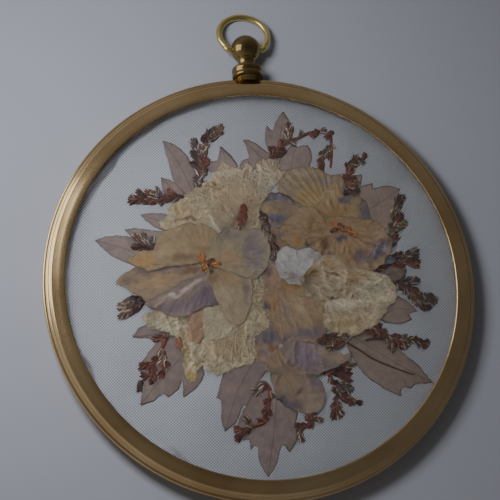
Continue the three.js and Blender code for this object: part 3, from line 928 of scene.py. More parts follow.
    def sheet(self, outline: Sequence[Point]) -> bmesh.types.BMesh:
        """Cuts the flat sheet: a fine grid trimmed to the outline.

        Args:
            outline: The dense outline.

        Returns:
            The sheet at height 0, in millimetres.
        """
        xs, ys = [p[0] for p in outline], [p[1] for p in outline]
        low, high = Vector((min(xs), min(ys), 0)), Vector((max(xs), max(ys), 0))
        size = high - low
        bm = bmesh.new()
        bmesh.ops.create_grid(
            bm, x_segments=max(2, round(size.x / self.cell)), y_segments=max(2, round(size.y / self.cell)),
            size=0.5, matrix=Matrix.Translation((low + high) / 2) @ Matrix.Diagonal((size.x, size.y, 1, 1)),
        )
        centres = np.array([f.calc_center_median()[:2] for f in bm.faces])
        kept = inside(outline, centres[:, 0], centres[:, 1])
        gone = [f for f, keep in zip(bm.faces, kept) if not keep]
        bmesh.ops.delete(bm, geom=gone, context="FACES")
        edge = np.array(outline)
        for vert in bm.verts:
            if vert.is_boundary:
                away = (edge[:, 0] - vert.co.x) ** 2 + (edge[:, 1] - vert.co.y) ** 2
                nearest = edge[int(np.argmin(away))]
                vert.co.x, vert.co.y = nearest
        bmesh.ops.remove_doubles(bm, verts=bm.verts, dist=0.04)
        inner = [v for v in bm.verts if not v.is_boundary]
        near_edge = [v for v in inner if any(e.other_vert(v).is_boundary for e in v.link_edges)]
        for _ in range(3):
            bmesh.ops.smooth_vert(bm, verts=near_edge, factor=0.5, use_axis_x=True, use_axis_y=True)
        return bm

    def build(self, bed: Bed, node: bpy.types.Object | None = None) -> bpy.types.Object:
        """Cuts, wrinkles and lays the film, and dresses it.

        Args:
            bed: What has been laid so far; the film is added to it.
            node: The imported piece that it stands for, or None for one with its own outline.

        Returns:
            The film's object.
        """
        self.outline = widened(list(self.outline) or outline_of(node), self.spread)
        dense = smooth_outline(self.outline, self.corner, self.outline_step)
        outline = ragged(dense, self.raggedness, self.seed)
        area = bed.window(outline)
        x, y, under = bed.x[area], bed.y[area], bed.height[area]
        settled = under
        for _ in range(3):
            settled = np.maximum(under, soften(settled, self.stiffness))
        mask = inside(outline, x, y)
        edge = 1 - np.clip(2 * soften(mask.astype(float), 3) - 1, 0, 1)
        settled = settled * (1 - edge) + under * edge
        lower = self.laid(settled, self.wrinkles(x, y), bed)
        grounds, edges = bed.height.copy(), np.zeros(bed.x.shape)
        grounds[area], edges[area] = settled, edge
        bed.height[area] = np.where(mask, lower + self.thickness, under)

        bm = self.sheet(outline)
        spots = np.array([v.co[:2] for v in bm.verts]).T
        rise = self.wrinkles(*spots)
        heights = self.laid(bed.sample(grounds, *spots), rise, bed)
        for vert, height in zip(bm.verts, heights.tolist()):
            vert.co.z = height
        relief = np.clip(rise / (0.3 + 1.2 * self.crumple), 0, 1)
        tint = self.tints(*spots, relief, bed.sample(edges, *spots))
        return finish_sheet(bm, self, node, tint, *self.grain(*spots))

    def laid(self, ground: Array, rise: Array, bed: Bed) -> Array:
        """Lays the sheet on its ground, with its creases flattened where the glass is near.

        Args:
            ground: The heights under the sheet.
            rise: How high its creases stand.
            bed: The bed, for the height of the glass.

        Returns:
            The heights of the sheet's underside.
        """
        top = bed.ceiling - self.thickness
        room = np.clip((top - ground) / self.soft_room, self.least_rise, 1.0)
        return np.minimum(ground + self.gap + np.clip(rise, 0, None) * room, top)


def widened(points: list[Point], amount: float) -> list[Point]:
    """Moves an outline's points outwards.

    Args:
        points: The outline's points in order.
        amount: How far to move them.

    Returns:
        The wider outline.
    """
    turns = sum(a[0] * b[1] - b[0] * a[1] for a, b in zip(points, points[1:] + points[:1]))
    sign = 1 if turns > 0 else -1
    result = []
    for before, here, after in zip(points[-1:] + points[:-1], points, points[1:] + points[:1]):
        way = Vector((after[0] - before[0], after[1] - before[1])).normalized()
        result.append((here[0] + sign * amount * way.y, here[1] - sign * amount * way.x))
    return result


def finish_sheet(
    bm: bmesh.types.BMesh, sheet: Film | Sprig, node: bpy.types.Object | None, tint: Array, along: Array,
    aside: Array,
) -> bpy.types.Object:
    """Turns a thin sheet into a dressed piece with its colours, its grain and its thickness.

    Args:
        bm: The sheet's mesh, in millimetres; it is freed here.
        sheet: The petal, leaf or sprig that it belongs to.
        node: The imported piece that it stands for, or None.
        tint: Rows of four colour values.
        along: How far each point is along the grain.
        aside: How far each point is across it.

    Returns:
        The new object.
    """
    nodes = (node.name,) if node else ()
    piece = finish_piece(bm, f"{sheet.name}_pressed", FRAME_BODY, sheet.finish, *nodes)
    colours = piece.data.attributes.new("tint", "FLOAT_COLOR", "POINT")
    colours.data.foreach_set("color", tint.ravel())
    grain = piece.data.attributes.new("grain", "FLOAT_VECTOR", "POINT")
    grain.data.foreach_set("vector", np.stack([along, aside, 0 * along], 1).ravel())
    set_smooth(piece)
    wall = piece.modifiers.new("thickness", "SOLIDIFY")
    wall.thickness, wall.offset, wall.use_even_offset = sheet.thickness * MM, 1.0, False
    return piece


# ---------------------------------------------------------------- sprigs


class Bract(Enum):
    """The colours that the sprigs' bracts dried to: the outside, then the slivers within."""

    DARK = ("#45221b", "#765a4e")
    RED = ("#602a1d", "#8a6650")
    CREAM = ("#5a3628", "#c0b092")
    GREEN = ("#57462f", "#a8a480")
    GREY = ("#46302b", "#a49c90")
    ORANGE = ("#9a5e2c", "#c4935c")
    ROSE = ("#6c3627", "#8a5340")


@dataclass(frozen=True)
class Bud:
    """A flattened bud: where it is, where it points, its size and its colour."""

    x: float
    y: float
    direction: float
    length: float
    width: float
    colour: Bract = Bract.DARK


@dataclass
class Sprig:
    """A pressed sprig: thin stems and buds, each bud a few pointed bracts."""

    name: str
    stems: Sequence[Sequence[Point]]
    buds: Sequence[Bud]
    finish: Finish = BRACT
    stem_width: float = 0.8
    stem_colour: str = "#6e3826"
    stem_streak: str = "#9a6448"
    stem_step: float = 0.7
    stem_arch: float = 0.3
    stem_lift: float = 0.04
    outer: Sequence[float] = (0.4, 0.86, 1.0, 0.86, 0.52, 0.08)
    inner: Sequence[float] = (0.14, 0.3, 0.42, 0.44, 0.32, 0.05)
    bracts: int = 5
    slivers: int = 2
    tufts: int = 3
    fan: float = 36.0
    arch: float = 0.26
    sliver_arch: float = 0.12
    thickness: float = 0.05
    filler: float = 1.2
    lean: tuple[float, float] = (22, 48)
    small: tuple[float, float] = (1.6, 2.3)
    filler_colours: tuple[Bract, ...] = (Bract.DARK, Bract.CREAM, Bract.RED, Bract.GREY)
    level: float = 0.0
    parts: list[tuple[Array, float, float, float]] = field(default_factory=list)
    chance: random.Random = field(init=False)

    def __post_init__(self) -> None:
        """Starts the sprig's own random numbers."""
        self.chance = random.Random(self.name)

    def ribbon(
        self, bm: bmesh.types.BMesh, path: Sequence[Point], widths: Sequence[float], arch: float,
        colours: tuple[str, str], lift: float,
    ) -> None:
        """Adds a narrow arched strip along a path: a stem or a bract.

        Args:
            bm: The sprig's mesh.
            path: The strip's middle line.
            widths: Its width at each point of the path.
            arch: How far its middle stands above its sides.
            colours: Its main colour and the colour of its streaks.
            lift: How far it lies above what is under it.
        """
        rows = len(path) - 1
        grid = bmesh.ops.create_grid(bm, x_segments=rows, y_segments=4, size=0.5)["verts"]
        line = [Vector(p) for p in path]
        base, streak = (np.array(linear(c)) for c in colours)
        vivid = self.chance.uniform(0.05, 0.5)
        tone = self.chance.uniform(0.6, 1.3)
        for vert in grid:
            along = min(max(round((vert.co.x + 0.5) * rows), 0), rows)
            across = 2 * vert.co.y
            before, after = line[max(along - 1, 0)], line[min(along + 1, rows)]
            way = (after - before).normalized()
            side = Vector((-way.y, way.x)) * widths[along] * 0.5 * across
            spot = line[along] + side
            full = widths[along] / max(widths)
            vert.co = (spot.x, spot.y, arch * full * (1 - across * across))
            share = vivid * (1.0 if abs(across) < 0.3 else 0.25) * (0.4 + 0.6 * along / rows)
            colour = (base * (1 - share) + streak * share) * tone
            self.parts.append((colour, along / rows * 3.0, across, lift))

    def small_buds(self) -> list[Bud]:
        """Fills the stems with smaller buds.

        Returns:
            Small buds that lean out on both sides of each stem.
        """
        result = []
        if not self.filler:
            return result
        for stem in self.stems:
            path = smooth_path(stem, self.filler)
            for i, ((x0, y0), (x1, y1)) in enumerate(zip(path, path[1:])):
                ahead = math.degrees(math.atan2(y1 - y0, x1 - x0))
                lean = self.chance.uniform(*self.lean) * (1 if i % 2 else -1)
                long = self.chance.uniform(*self.small)
                spot = Vector((x0, y0)) + unit(ahead + lean) * long * 0.45
                colour = self.filler_colours[self.chance.randrange(len(self.filler_colours))]
                result.append(Bud(spot.x, spot.y, ahead + lean, long, 0.42 * long, colour))
        return result

    def tufted(self, bud: Bud) -> list[Bud]:
        """Splits a bud into small tufts, one behind the other.

        Args:
            bud: The bud.

        Returns:
            The tufts, from its base to its tip.
        """
        result = []
        for k in range(self.tufts):
            along = ((k + 0.5) / self.tufts - 0.5) * 0.8 * bud.length
            aside = self.chance.uniform(-0.3, 0.3) * bud.width
            spot = Vector((bud.x, bud.y)) + unit(bud.direction) * along
            spot += unit(bud.direction + 90) * aside
            turn = bud.direction + self.chance.uniform(-24, 24)
            result.append(Bud(spot.x, spot.y, turn, 0.6 * bud.length, 0.75 * bud.width, bud.colour))
        return result

    def bract_paths(self, bud: Bud, count: int) -> list[tuple[list[Point], float]]:
        """Spreads a bud's bracts.

        Args:
            bud: The bud.
            count: How many bracts it has.

        Returns:
            Each bract's middle line and its width.
        """
        start = Vector((bud.x, bud.y)) - 0.5 * bud.length * unit(bud.direction)
        result = []
        for k in range(count):
            spread = (k - (count - 1) / 2) / max(count - 1, 1)
            turn = bud.direction + self.fan * spread + self.chance.uniform(-7, 7)
            long = bud.length * (1.04 - 0.3 * abs(spread)) * self.chance.uniform(0.85, 1.05)
            off = unit(bud.direction + 90) * bud.width * 0.42 * spread
            bend = self.chance.uniform(-9, 9)
            spot, path = start + off * 0.5, []
            for i in range(6):
                path.append((spot.x + off.x * i / 10, spot.y + off.y * i / 10))
                spot = spot + unit(turn + bend * i / 3) * long / 5
            result.append((path, bud.width * self.chance.uniform(0.5, 0.7)))
        return result

    def build(self, bed: Bed, node: bpy.types.Object | None = None) -> bpy.types.Object:
        """Lays the sprig's stems and bracts, and dresses it.

        Args:
            bed: What has been laid so far; the sprig is added to it.
            node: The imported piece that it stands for, or None.

        Returns:
            The sprig's object.
        """
        bm = bmesh.new()
        for stem in self.stems:
            path = smooth_path(stem, self.stem_step)
            thin = [self.stem_width * (1 - 0.4 * i / len(path)) for i in range(len(path))]
            colours = (self.stem_colour, self.stem_streak)
            self.ribbon(bm, path, thin, self.stem_arch, colours, self.stem_lift)
        tufts = [tuft for bud in self.buds for tuft in self.tufted(bud)]
        for i, bud in enumerate([*self.small_buds(), *tufts]):
            dark, pale = bud.colour.value
            for k, (path, width) in enumerate(self.bract_paths(bud, self.bracts)):
                lift = 0.06 + 0.05 * ((i + k) % 4)
                widths = [width * w for w in self.outer]
                self.ribbon(bm, path, widths, self.arch, (dark, pale), lift)
            longer = Bud(bud.x, bud.y, bud.direction, 1.05 * bud.length, 0.8 * bud.width)
            for k, (path, width) in enumerate(self.bract_paths(longer, self.slivers)):
                lift = 0.2 + 0.06 * ((i + k) % 3)
                widths = [width * w for w in self.inner]
                self.ribbon(bm, path, widths, self.sliver_arch, (pale, pale), lift)
        bm.verts.index_update()
        spots = np.array([v.co for v in bm.verts])
        lifts = np.array([part[3] for part in self.parts])
        ground = bed.sample(bed.height, spots[:, 0], spots[:, 1])
        heights = np.minimum(ground + lifts + spots[:, 2], bed.ceiling - self.thickness)
        for vert, height in zip(bm.verts, heights.tolist()):
            vert.co.z = height
        cols = ((spots[:, 0] + bed.half_width) / bed.cell + 0.5).astype(int)
        rows = ((spots[:, 1] + bed.half_width) / bed.cell + 0.5).astype(int)
        raised = bed.height.copy()
        np.maximum.at(raised, (rows, cols), heights + self.thickness)
        bed.height = np.maximum(bed.height, soften(np.maximum(raised, grown(raised)), 1))
        tint = np.clip(np.array([part[0] for part in self.parts]), 0, 1)
        along = np.array([part[1] for part in self.parts]) + spots[:, 0]
        aside = np.array([part[2] for part in self.parts]) + spots[:, 1]
        return finish_sheet(bm, self, node, tint, along, aside)


def grown(grid: Array) -> Array:
    """Gives each cell the highest of itself and its four neighbours."""
    sides = [np.roll(grid, shift, axis) for shift in (1, -1) for axis in (0, 1)]
    return np.maximum.reduce([grid, *sides])


def unit(direction: float) -> Vector:
    """Gives the unit vector of a direction in degrees."""
    return Vector((math.cos(math.radians(direction)), math.sin(math.radians(direction))))


def smooth_path(points: Sequence[Point], step: float) -> list[Point]:
    """Rounds an open path through its points.

    Args:
        points: The path's points.
        step: The distance between the new points.

    Returns:
        The denser path.
    """
    p = [Vector(q) for q in points]
    last = len(p) - 1
    result = []
    for i in range(last):
        result += eased(p[max(i - 1, 0)], p[i], p[i + 1], p[min(i + 2, last)], step)
    return [*result, tuple(p[-1])]


# ---------------------------------------------------------------- the arrangement

LEAVES: dict[str, Sequence[Point]] = {
    "leaf_upper_left": ((-15, 22), (-18, 29), (-21.5, 34.7)),
    "leaf_upper_left_small": ((-18, 20.5), (-22.3, 25.7)),
    "leaf_left_top": ((-19, 13.8), (-23.5, 15.2), (-27.6, 16.6)),
    "leaf_left_upper": ((-21, 10.8), (-26, 11.3), (-31.3, 13.2)),
    "leaf_left": ((-25.5, 5.2), (-31, 8.6), (-38.1, 10.8)),
    "leaf_lower_left_small": ((-22.5, -11), (-30.9, -11.9)),
    "leaf_lower_left": ((-17, -14), (-23, -19.6), (-29.8, -27.1)),
    "leaf_bottom_left": ((-3.6, -18), (-8, -25), (-11.4, -33.8)),
    "leaf_bottom": ((1, -26), (-0.6, -35), (-2.5, -44.1)),
    "leaf_lower_right": ((19.4, -13.4), (28, -19.4), (37.3, -25.2)),
    "leaf_right_low": ((26.6, -9), (31, -7.2), (35.7, -8.3)),
    "leaf_right_upper": ((23.6, 15), (29.5, 18.5), (34.9, 22)),
    "leaf_upper_right": ((19.6, 21), (25.8, 25.7)), "leaf_top_pair": ((8, 25), (10.3, 34.2)),
    "leaf_top": ((5.5, 31), (6.8, 36), (7.9, 41.9)), "leaf_top_left": ((3.4, 28.6), (-2.6, 34.9)),
    "leaf_top_narrow": ((-6, 26.4), (-7.9, 33.5)),
}

UPPER_SPRIGS = {"sprig_middle": 4.6}
THIN_SPRIGS = ("sprig_lower_left", "sprig_bottom_left", "sprig_bottom", "sprig_top_arch")
B = Bract
FEW_BUDS = {"filler": 2.4, "stem_colour": "#7c3b28", "filler_colours": (B.RED, B.CREAM, B.RED)}
LEAF_TINT, LEAF_TINT_RIGHT = "#968276", "#9c8776"
# each sprig's stems, and a row of numbers for each of its buds
SPRIGS: dict[str, tuple[Sequence[Sequence[Point]], Sequence[tuple]]] = {
    "sprig_upper_left": (
        [[(-13, 23), (-12.8, 27), (-12.4, 31), (-11.4, 34.2), (-8, 37.2)]],
        [
            (-13.8, 24.8, 110, 3, 1.8, B.GREY), (-12.4, 26.6, 60, 3, 1.8, B.CREAM),
            (-14, 28.2, 135, 3.2, 1.8, B.DARK), (-11.7, 29.2, 70, 3.4, 2, B.RED),
            (-13.6, 30.8, 120, 3.6, 1.8, B.DARK), (-13.4, 33.5, 118, 4.2, 1.8, B.GREY),
            (-11.6, 32.8, 90, 3.6, 2, B.CREAM), (-11, 36, 60, 3.8, 1.8, B.DARK),
            (-8.8, 36, 38, 4, 1.9, B.CREAM), (-8, 37.7, 30, 2.8, 1.7, B.GREEN),
        ],
    ),
    "sprig_left_upper": (
        [[(-18.2, 20.2), (-22, 20.4), (-26, 20.6), (-29.6, 20.4)]],
        [
            (-19.2, 20.2, 190, 3.4, 2, B.DARK), (-19.8, 21.8, 120, 2.6, 1.4, B.RED),
            (-21.8, 19.8, 190, 3.2, 1.4, B.DARK), (-23, 21.7, 120, 3.4, 1.1, B.GREY),
            (-25, 21.6, 150, 3, 1.6, B.CREAM), (-25.4, 19.9, 190, 3, 1.5, B.RED),
            (-27.2, 21.6, 140, 2.8, 1.3, B.DARK), (-28.6, 20.2, 185, 3.2, 1.5, B.RED),
        ],
    ),
    "sprig_left": (
        [[(-23.4, 8.4), (-26, 9.2), (-28.4, 11)]],
        [
            (-24.4, 8.6, 160, 3, 2, B.DARK), (-25.4, 10.4, 120, 3, 1.7, B.GREY),
            (-26.4, 8.2, 180, 3.2, 1.9, B.DARK), (-26.8, 11.2, 120, 3, 1.3, B.GREY),
            (-28.2, 11.2, 130, 2.8, 1.4, B.CREAM), (-28.1, 9.3, 170, 3.4, 1.7, B.DARK),
        ],
    ),
    "sprig_lower_left_bud": (
        [[(-27.7, -3.2), (-30, -4), (-32.6, -5.6)]],
        [
            (-28.6, -3.6, 210, 3.2, 2.4, B.DARK), (-30.4, -2.9, 192, 3.2, 1.5, B.GREY),
            (-31.8, -4.6, 200, 3.6, 1.6, B.CREAM), (-30.4, -5.4, 220, 3.4, 1.8, B.DARK),
            (-32, -6.6, 225, 3.2, 1.4, B.CREAM),
        ],
    ),
    "sprig_lower_left": (
        [
            [(-22.9, -11.8), (-24.3, -14.8), (-26.2, -18.2), (-27.6, -20.6), (-29.8, -22.4)],
            [(-24.4, -14.8), (-24, -17.6), (-24.3, -21.4)],
        ],
        [
            (-27.8, -18.5, 200, 3.4, 1.5, B.RED), (-24.2, -17, 265, 3.6, 1.9, B.CREAM),
            (-26.8, -21.2, 280, 2.8, 1.5, B.RED), (-29.4, -23, 240, 2.4, 1.4, B.DARK),
            (-24.6, -12.3, 190, 3.4, 0.9, B.RED),
        ],
    ),
    "sprig_bottom_left": (
        [[(-1.3, -23.5), (-0.5, -25.4), (-1.4, -29.2), (-2.3, -32), (-5.6, -33.1), (-9.4, -33.9)]],
        [
            (-2.8, -24.7, 220, 3.8, 1.4, B.CREAM), (-6.3, -31.9, 120, 2.8, 1.1, B.CREAM),
            (-8.2, -34.6, 240, 3.2, 1.6, B.RED), (-1.9, -30.4, 255, 3, 1.3, B.RED),
        ],
    ),
    "sprig_bottom": (
        [[(8.4, -30), (8.6, -32.4), (6.4, -33.6), (5.2, -35.6)]],
        [
            (8.2, -31.2, 260, 2.6, 1.8, B.RED), (9.6, -32.3, 345, 2.6, 1.3, B.CREAM),
            (5.6, -33.3, 170, 2.6, 1.2, B.RED), (5.3, -35.6, 270, 2.8, 1.5, B.CREAM),
        ],
    ),
    "sprig_lower_right": (
        [
            [(12.4, -20.4), (13.6, -22.8), (14.8, -25.6), (14.4, -28.4), (14.2, -31.4)],
            [(14.9, -26.2), (17.4, -27.6), (19.8, -29.4)],
        ],
        [
            (13.8, -20.9, 350, 3.2, 1.5, B.RED), (16.4, -20.3, 350, 4, 1.6, B.RED),
            (18.6, -20.2, 350, 2.6, 1, B.CREAM), (16.4, -21.8, 345, 4.2, 1.9, B.DARK),
            (16.8, -23, 325, 3.8, 1.5, B.RED), (16.4, -25.4, 330, 4, 2.4, B.GREY),
            (17.2, -27.8, 328, 3.6, 1.6, B.RED), (13.8, -30.4, 262, 4, 1.7, B.RED),
            (15, -30, 290, 3, 1.4, B.CREAM),
        ],
    ),
    "sprig_right_low": (
        [[(23.2, -11.8), (26.4, -12.6), (29.6, -14.6), (33.6, -15), (36.6, -16.3)]],
        [
            (23.8, -12.4, 300, 3, 1.4, B.RED), (26.2, -12.2, 300, 3.8, 2, B.RED),
            (27.8, -14.2, 300, 3.4, 1.4, B.CREAM), (28.5, -16.2, 265, 3, 1.3, B.CREAM),
            (29.8, -15.4, 285, 3.8, 2, B.RED), (31.4, -15.2, 310, 3.8, 2, B.CREAM),
            (33.4, -14.9, 340, 2.6, 1.4, B.GREEN), (36, -16.1, 335, 2.6, 1.7, B.RED),
        ],
    ),
    "sprig_right_middle": (
        [[(29.4, -0.6), (32.6, -2), (34.6, -4.4), (37.6, -5.6), (40.2, -5.8)]],
        [
            (31.8, -1.6, 330, 4, 2.6, B.DARK), (34.7, -0.9, 355, 4.8, 1.9, B.GREY),
            (34.8, -2.9, 335, 4, 1.8, B.DARK), (36, -3.7, 325, 2.8, 1.3, B.RED),
            (35.2, -5.6, 300, 3.4, 1.9, B.CREAM), (37.4, -6.95, 340, 3.5, 1.6, B.DARK),
            (39.1, -5.3, 330, 3.6, 1.9, B.GREY),
        ],
    ),
    "sprig_right_upper": (
        [[(26.6, 1.8), (30.4, 3.2), (34.4, 4), (37.2, 3.2)]],
        [
            (27.6, 1.7, 340, 2.8, 1.3, B.RED), (30.4, 4.4, 10, 3.4, 2, B.RED),
            (32.1, 5.6, 25, 3.4, 1.4, B.DARK), (32.4, 3.4, 5, 3.6, 1.9, B.RED),
            (34.8, 4.4, 5, 3.6, 2, B.DARK), (35.8, 3.2, 350, 3.4, 1.4, B.RED),
            (36.2, 5.9, 25, 3.4, 2, B.GREY),
        ],
    ),
    "sprig_right_top": (
        [[(31.4, 8.6), (31.8, 11.6), (33.2, 14.6), (33.4, 17.4), (35, 20)]],
        [
            (32, 9.2, 60, 3.6, 1.5, B.RED), (32.2, 11.8, 60, 3.2, 1.4, B.GREEN),
            (34, 12.8, 35, 3.6, 1.2, B.GREEN), (33.7, 14.6, 60, 3, 1.5, B.RED),
            (33.1, 16.4, 60, 3.2, 1.5, B.GREEN), (34.5, 18.5, 65, 3.8, 1.7, B.DARK),
        ],
    ),
    "sprig_top_right": (
        [[(21.6, 21), (22.2, 24.4), (22.4, 27.2), (24, 28.8), (27.4, 30.1)]],
        [
            (22.6, 21.6, 20, 4, 1.6, B.DARK), (23.3, 22.8, 15, 3.8, 1.6, B.CREAM),
            (22.8, 24, 30, 3.4, 1.4, B.RED), (24.3, 28.8, 35, 3.8, 1.6, B.GREEN),
        ],
    ),
    "sprig_top_arch": (
        [
            [
                (4.2, 30), (6.4, 32.8), (8.8, 34.3), (11.4, 35.2), (14, 36.4), (16.6, 36.6), (18.9, 36),
                (19, 33.4), (18.8, 30.6), (18.2, 27.4),
            ]
        ],
        [
            (4.6, 31.3, 70, 3.4, 1.9, B.RED), (6, 31.6, 20, 3.8, 1.8, B.DARK),
            (8.2, 35.4, 90, 3, 1.4, B.CREAM), (9, 37.2, 80, 3.8, 1.5, B.CREAM),
            (15.6, 36.3, 60, 2, 1.3, B.RED), (18.8, 36.2, 60, 1.8, 1.3, B.RED),
            (17.9, 31.5, 250, 2.8, 1.4, B.CREAM), (16.6, 30.6, 250, 3.2, 1.5, B.CREAM),
            (15.8, 28.3, 262, 3.4, 1.3, B.RED),
        ],
    ),
    "sprig_middle": (
        [[(0.6, 16.6), (0.9, 13.4), (1.6, 11.2), (2.6, 8.4), (3, 6.2)]],
        [
            (0.9, 15.2, 290, 3.4, 1.6, B.DARK), (1.6, 12.4, 295, 3, 1.8, B.GREY),
            (2, 10.3, 300, 3.2, 1.8, B.GREEN), (2.5, 8.2, 290, 3, 2.2, B.DARK),
            (2.7, 6.3, 260, 2.8, 1.6, B.GREY),
        ],
    ),
}

TOP, DOUBLE, FRONT, LOW = (-4.4, 14.6), (18.6, 12.8), (-12.2, 4.8), (-6.0, -3.0)
RIGHT, SMALL, LUMPY = (7.5, 1.0), (2.6, -0.4), (3.4, -20.6)

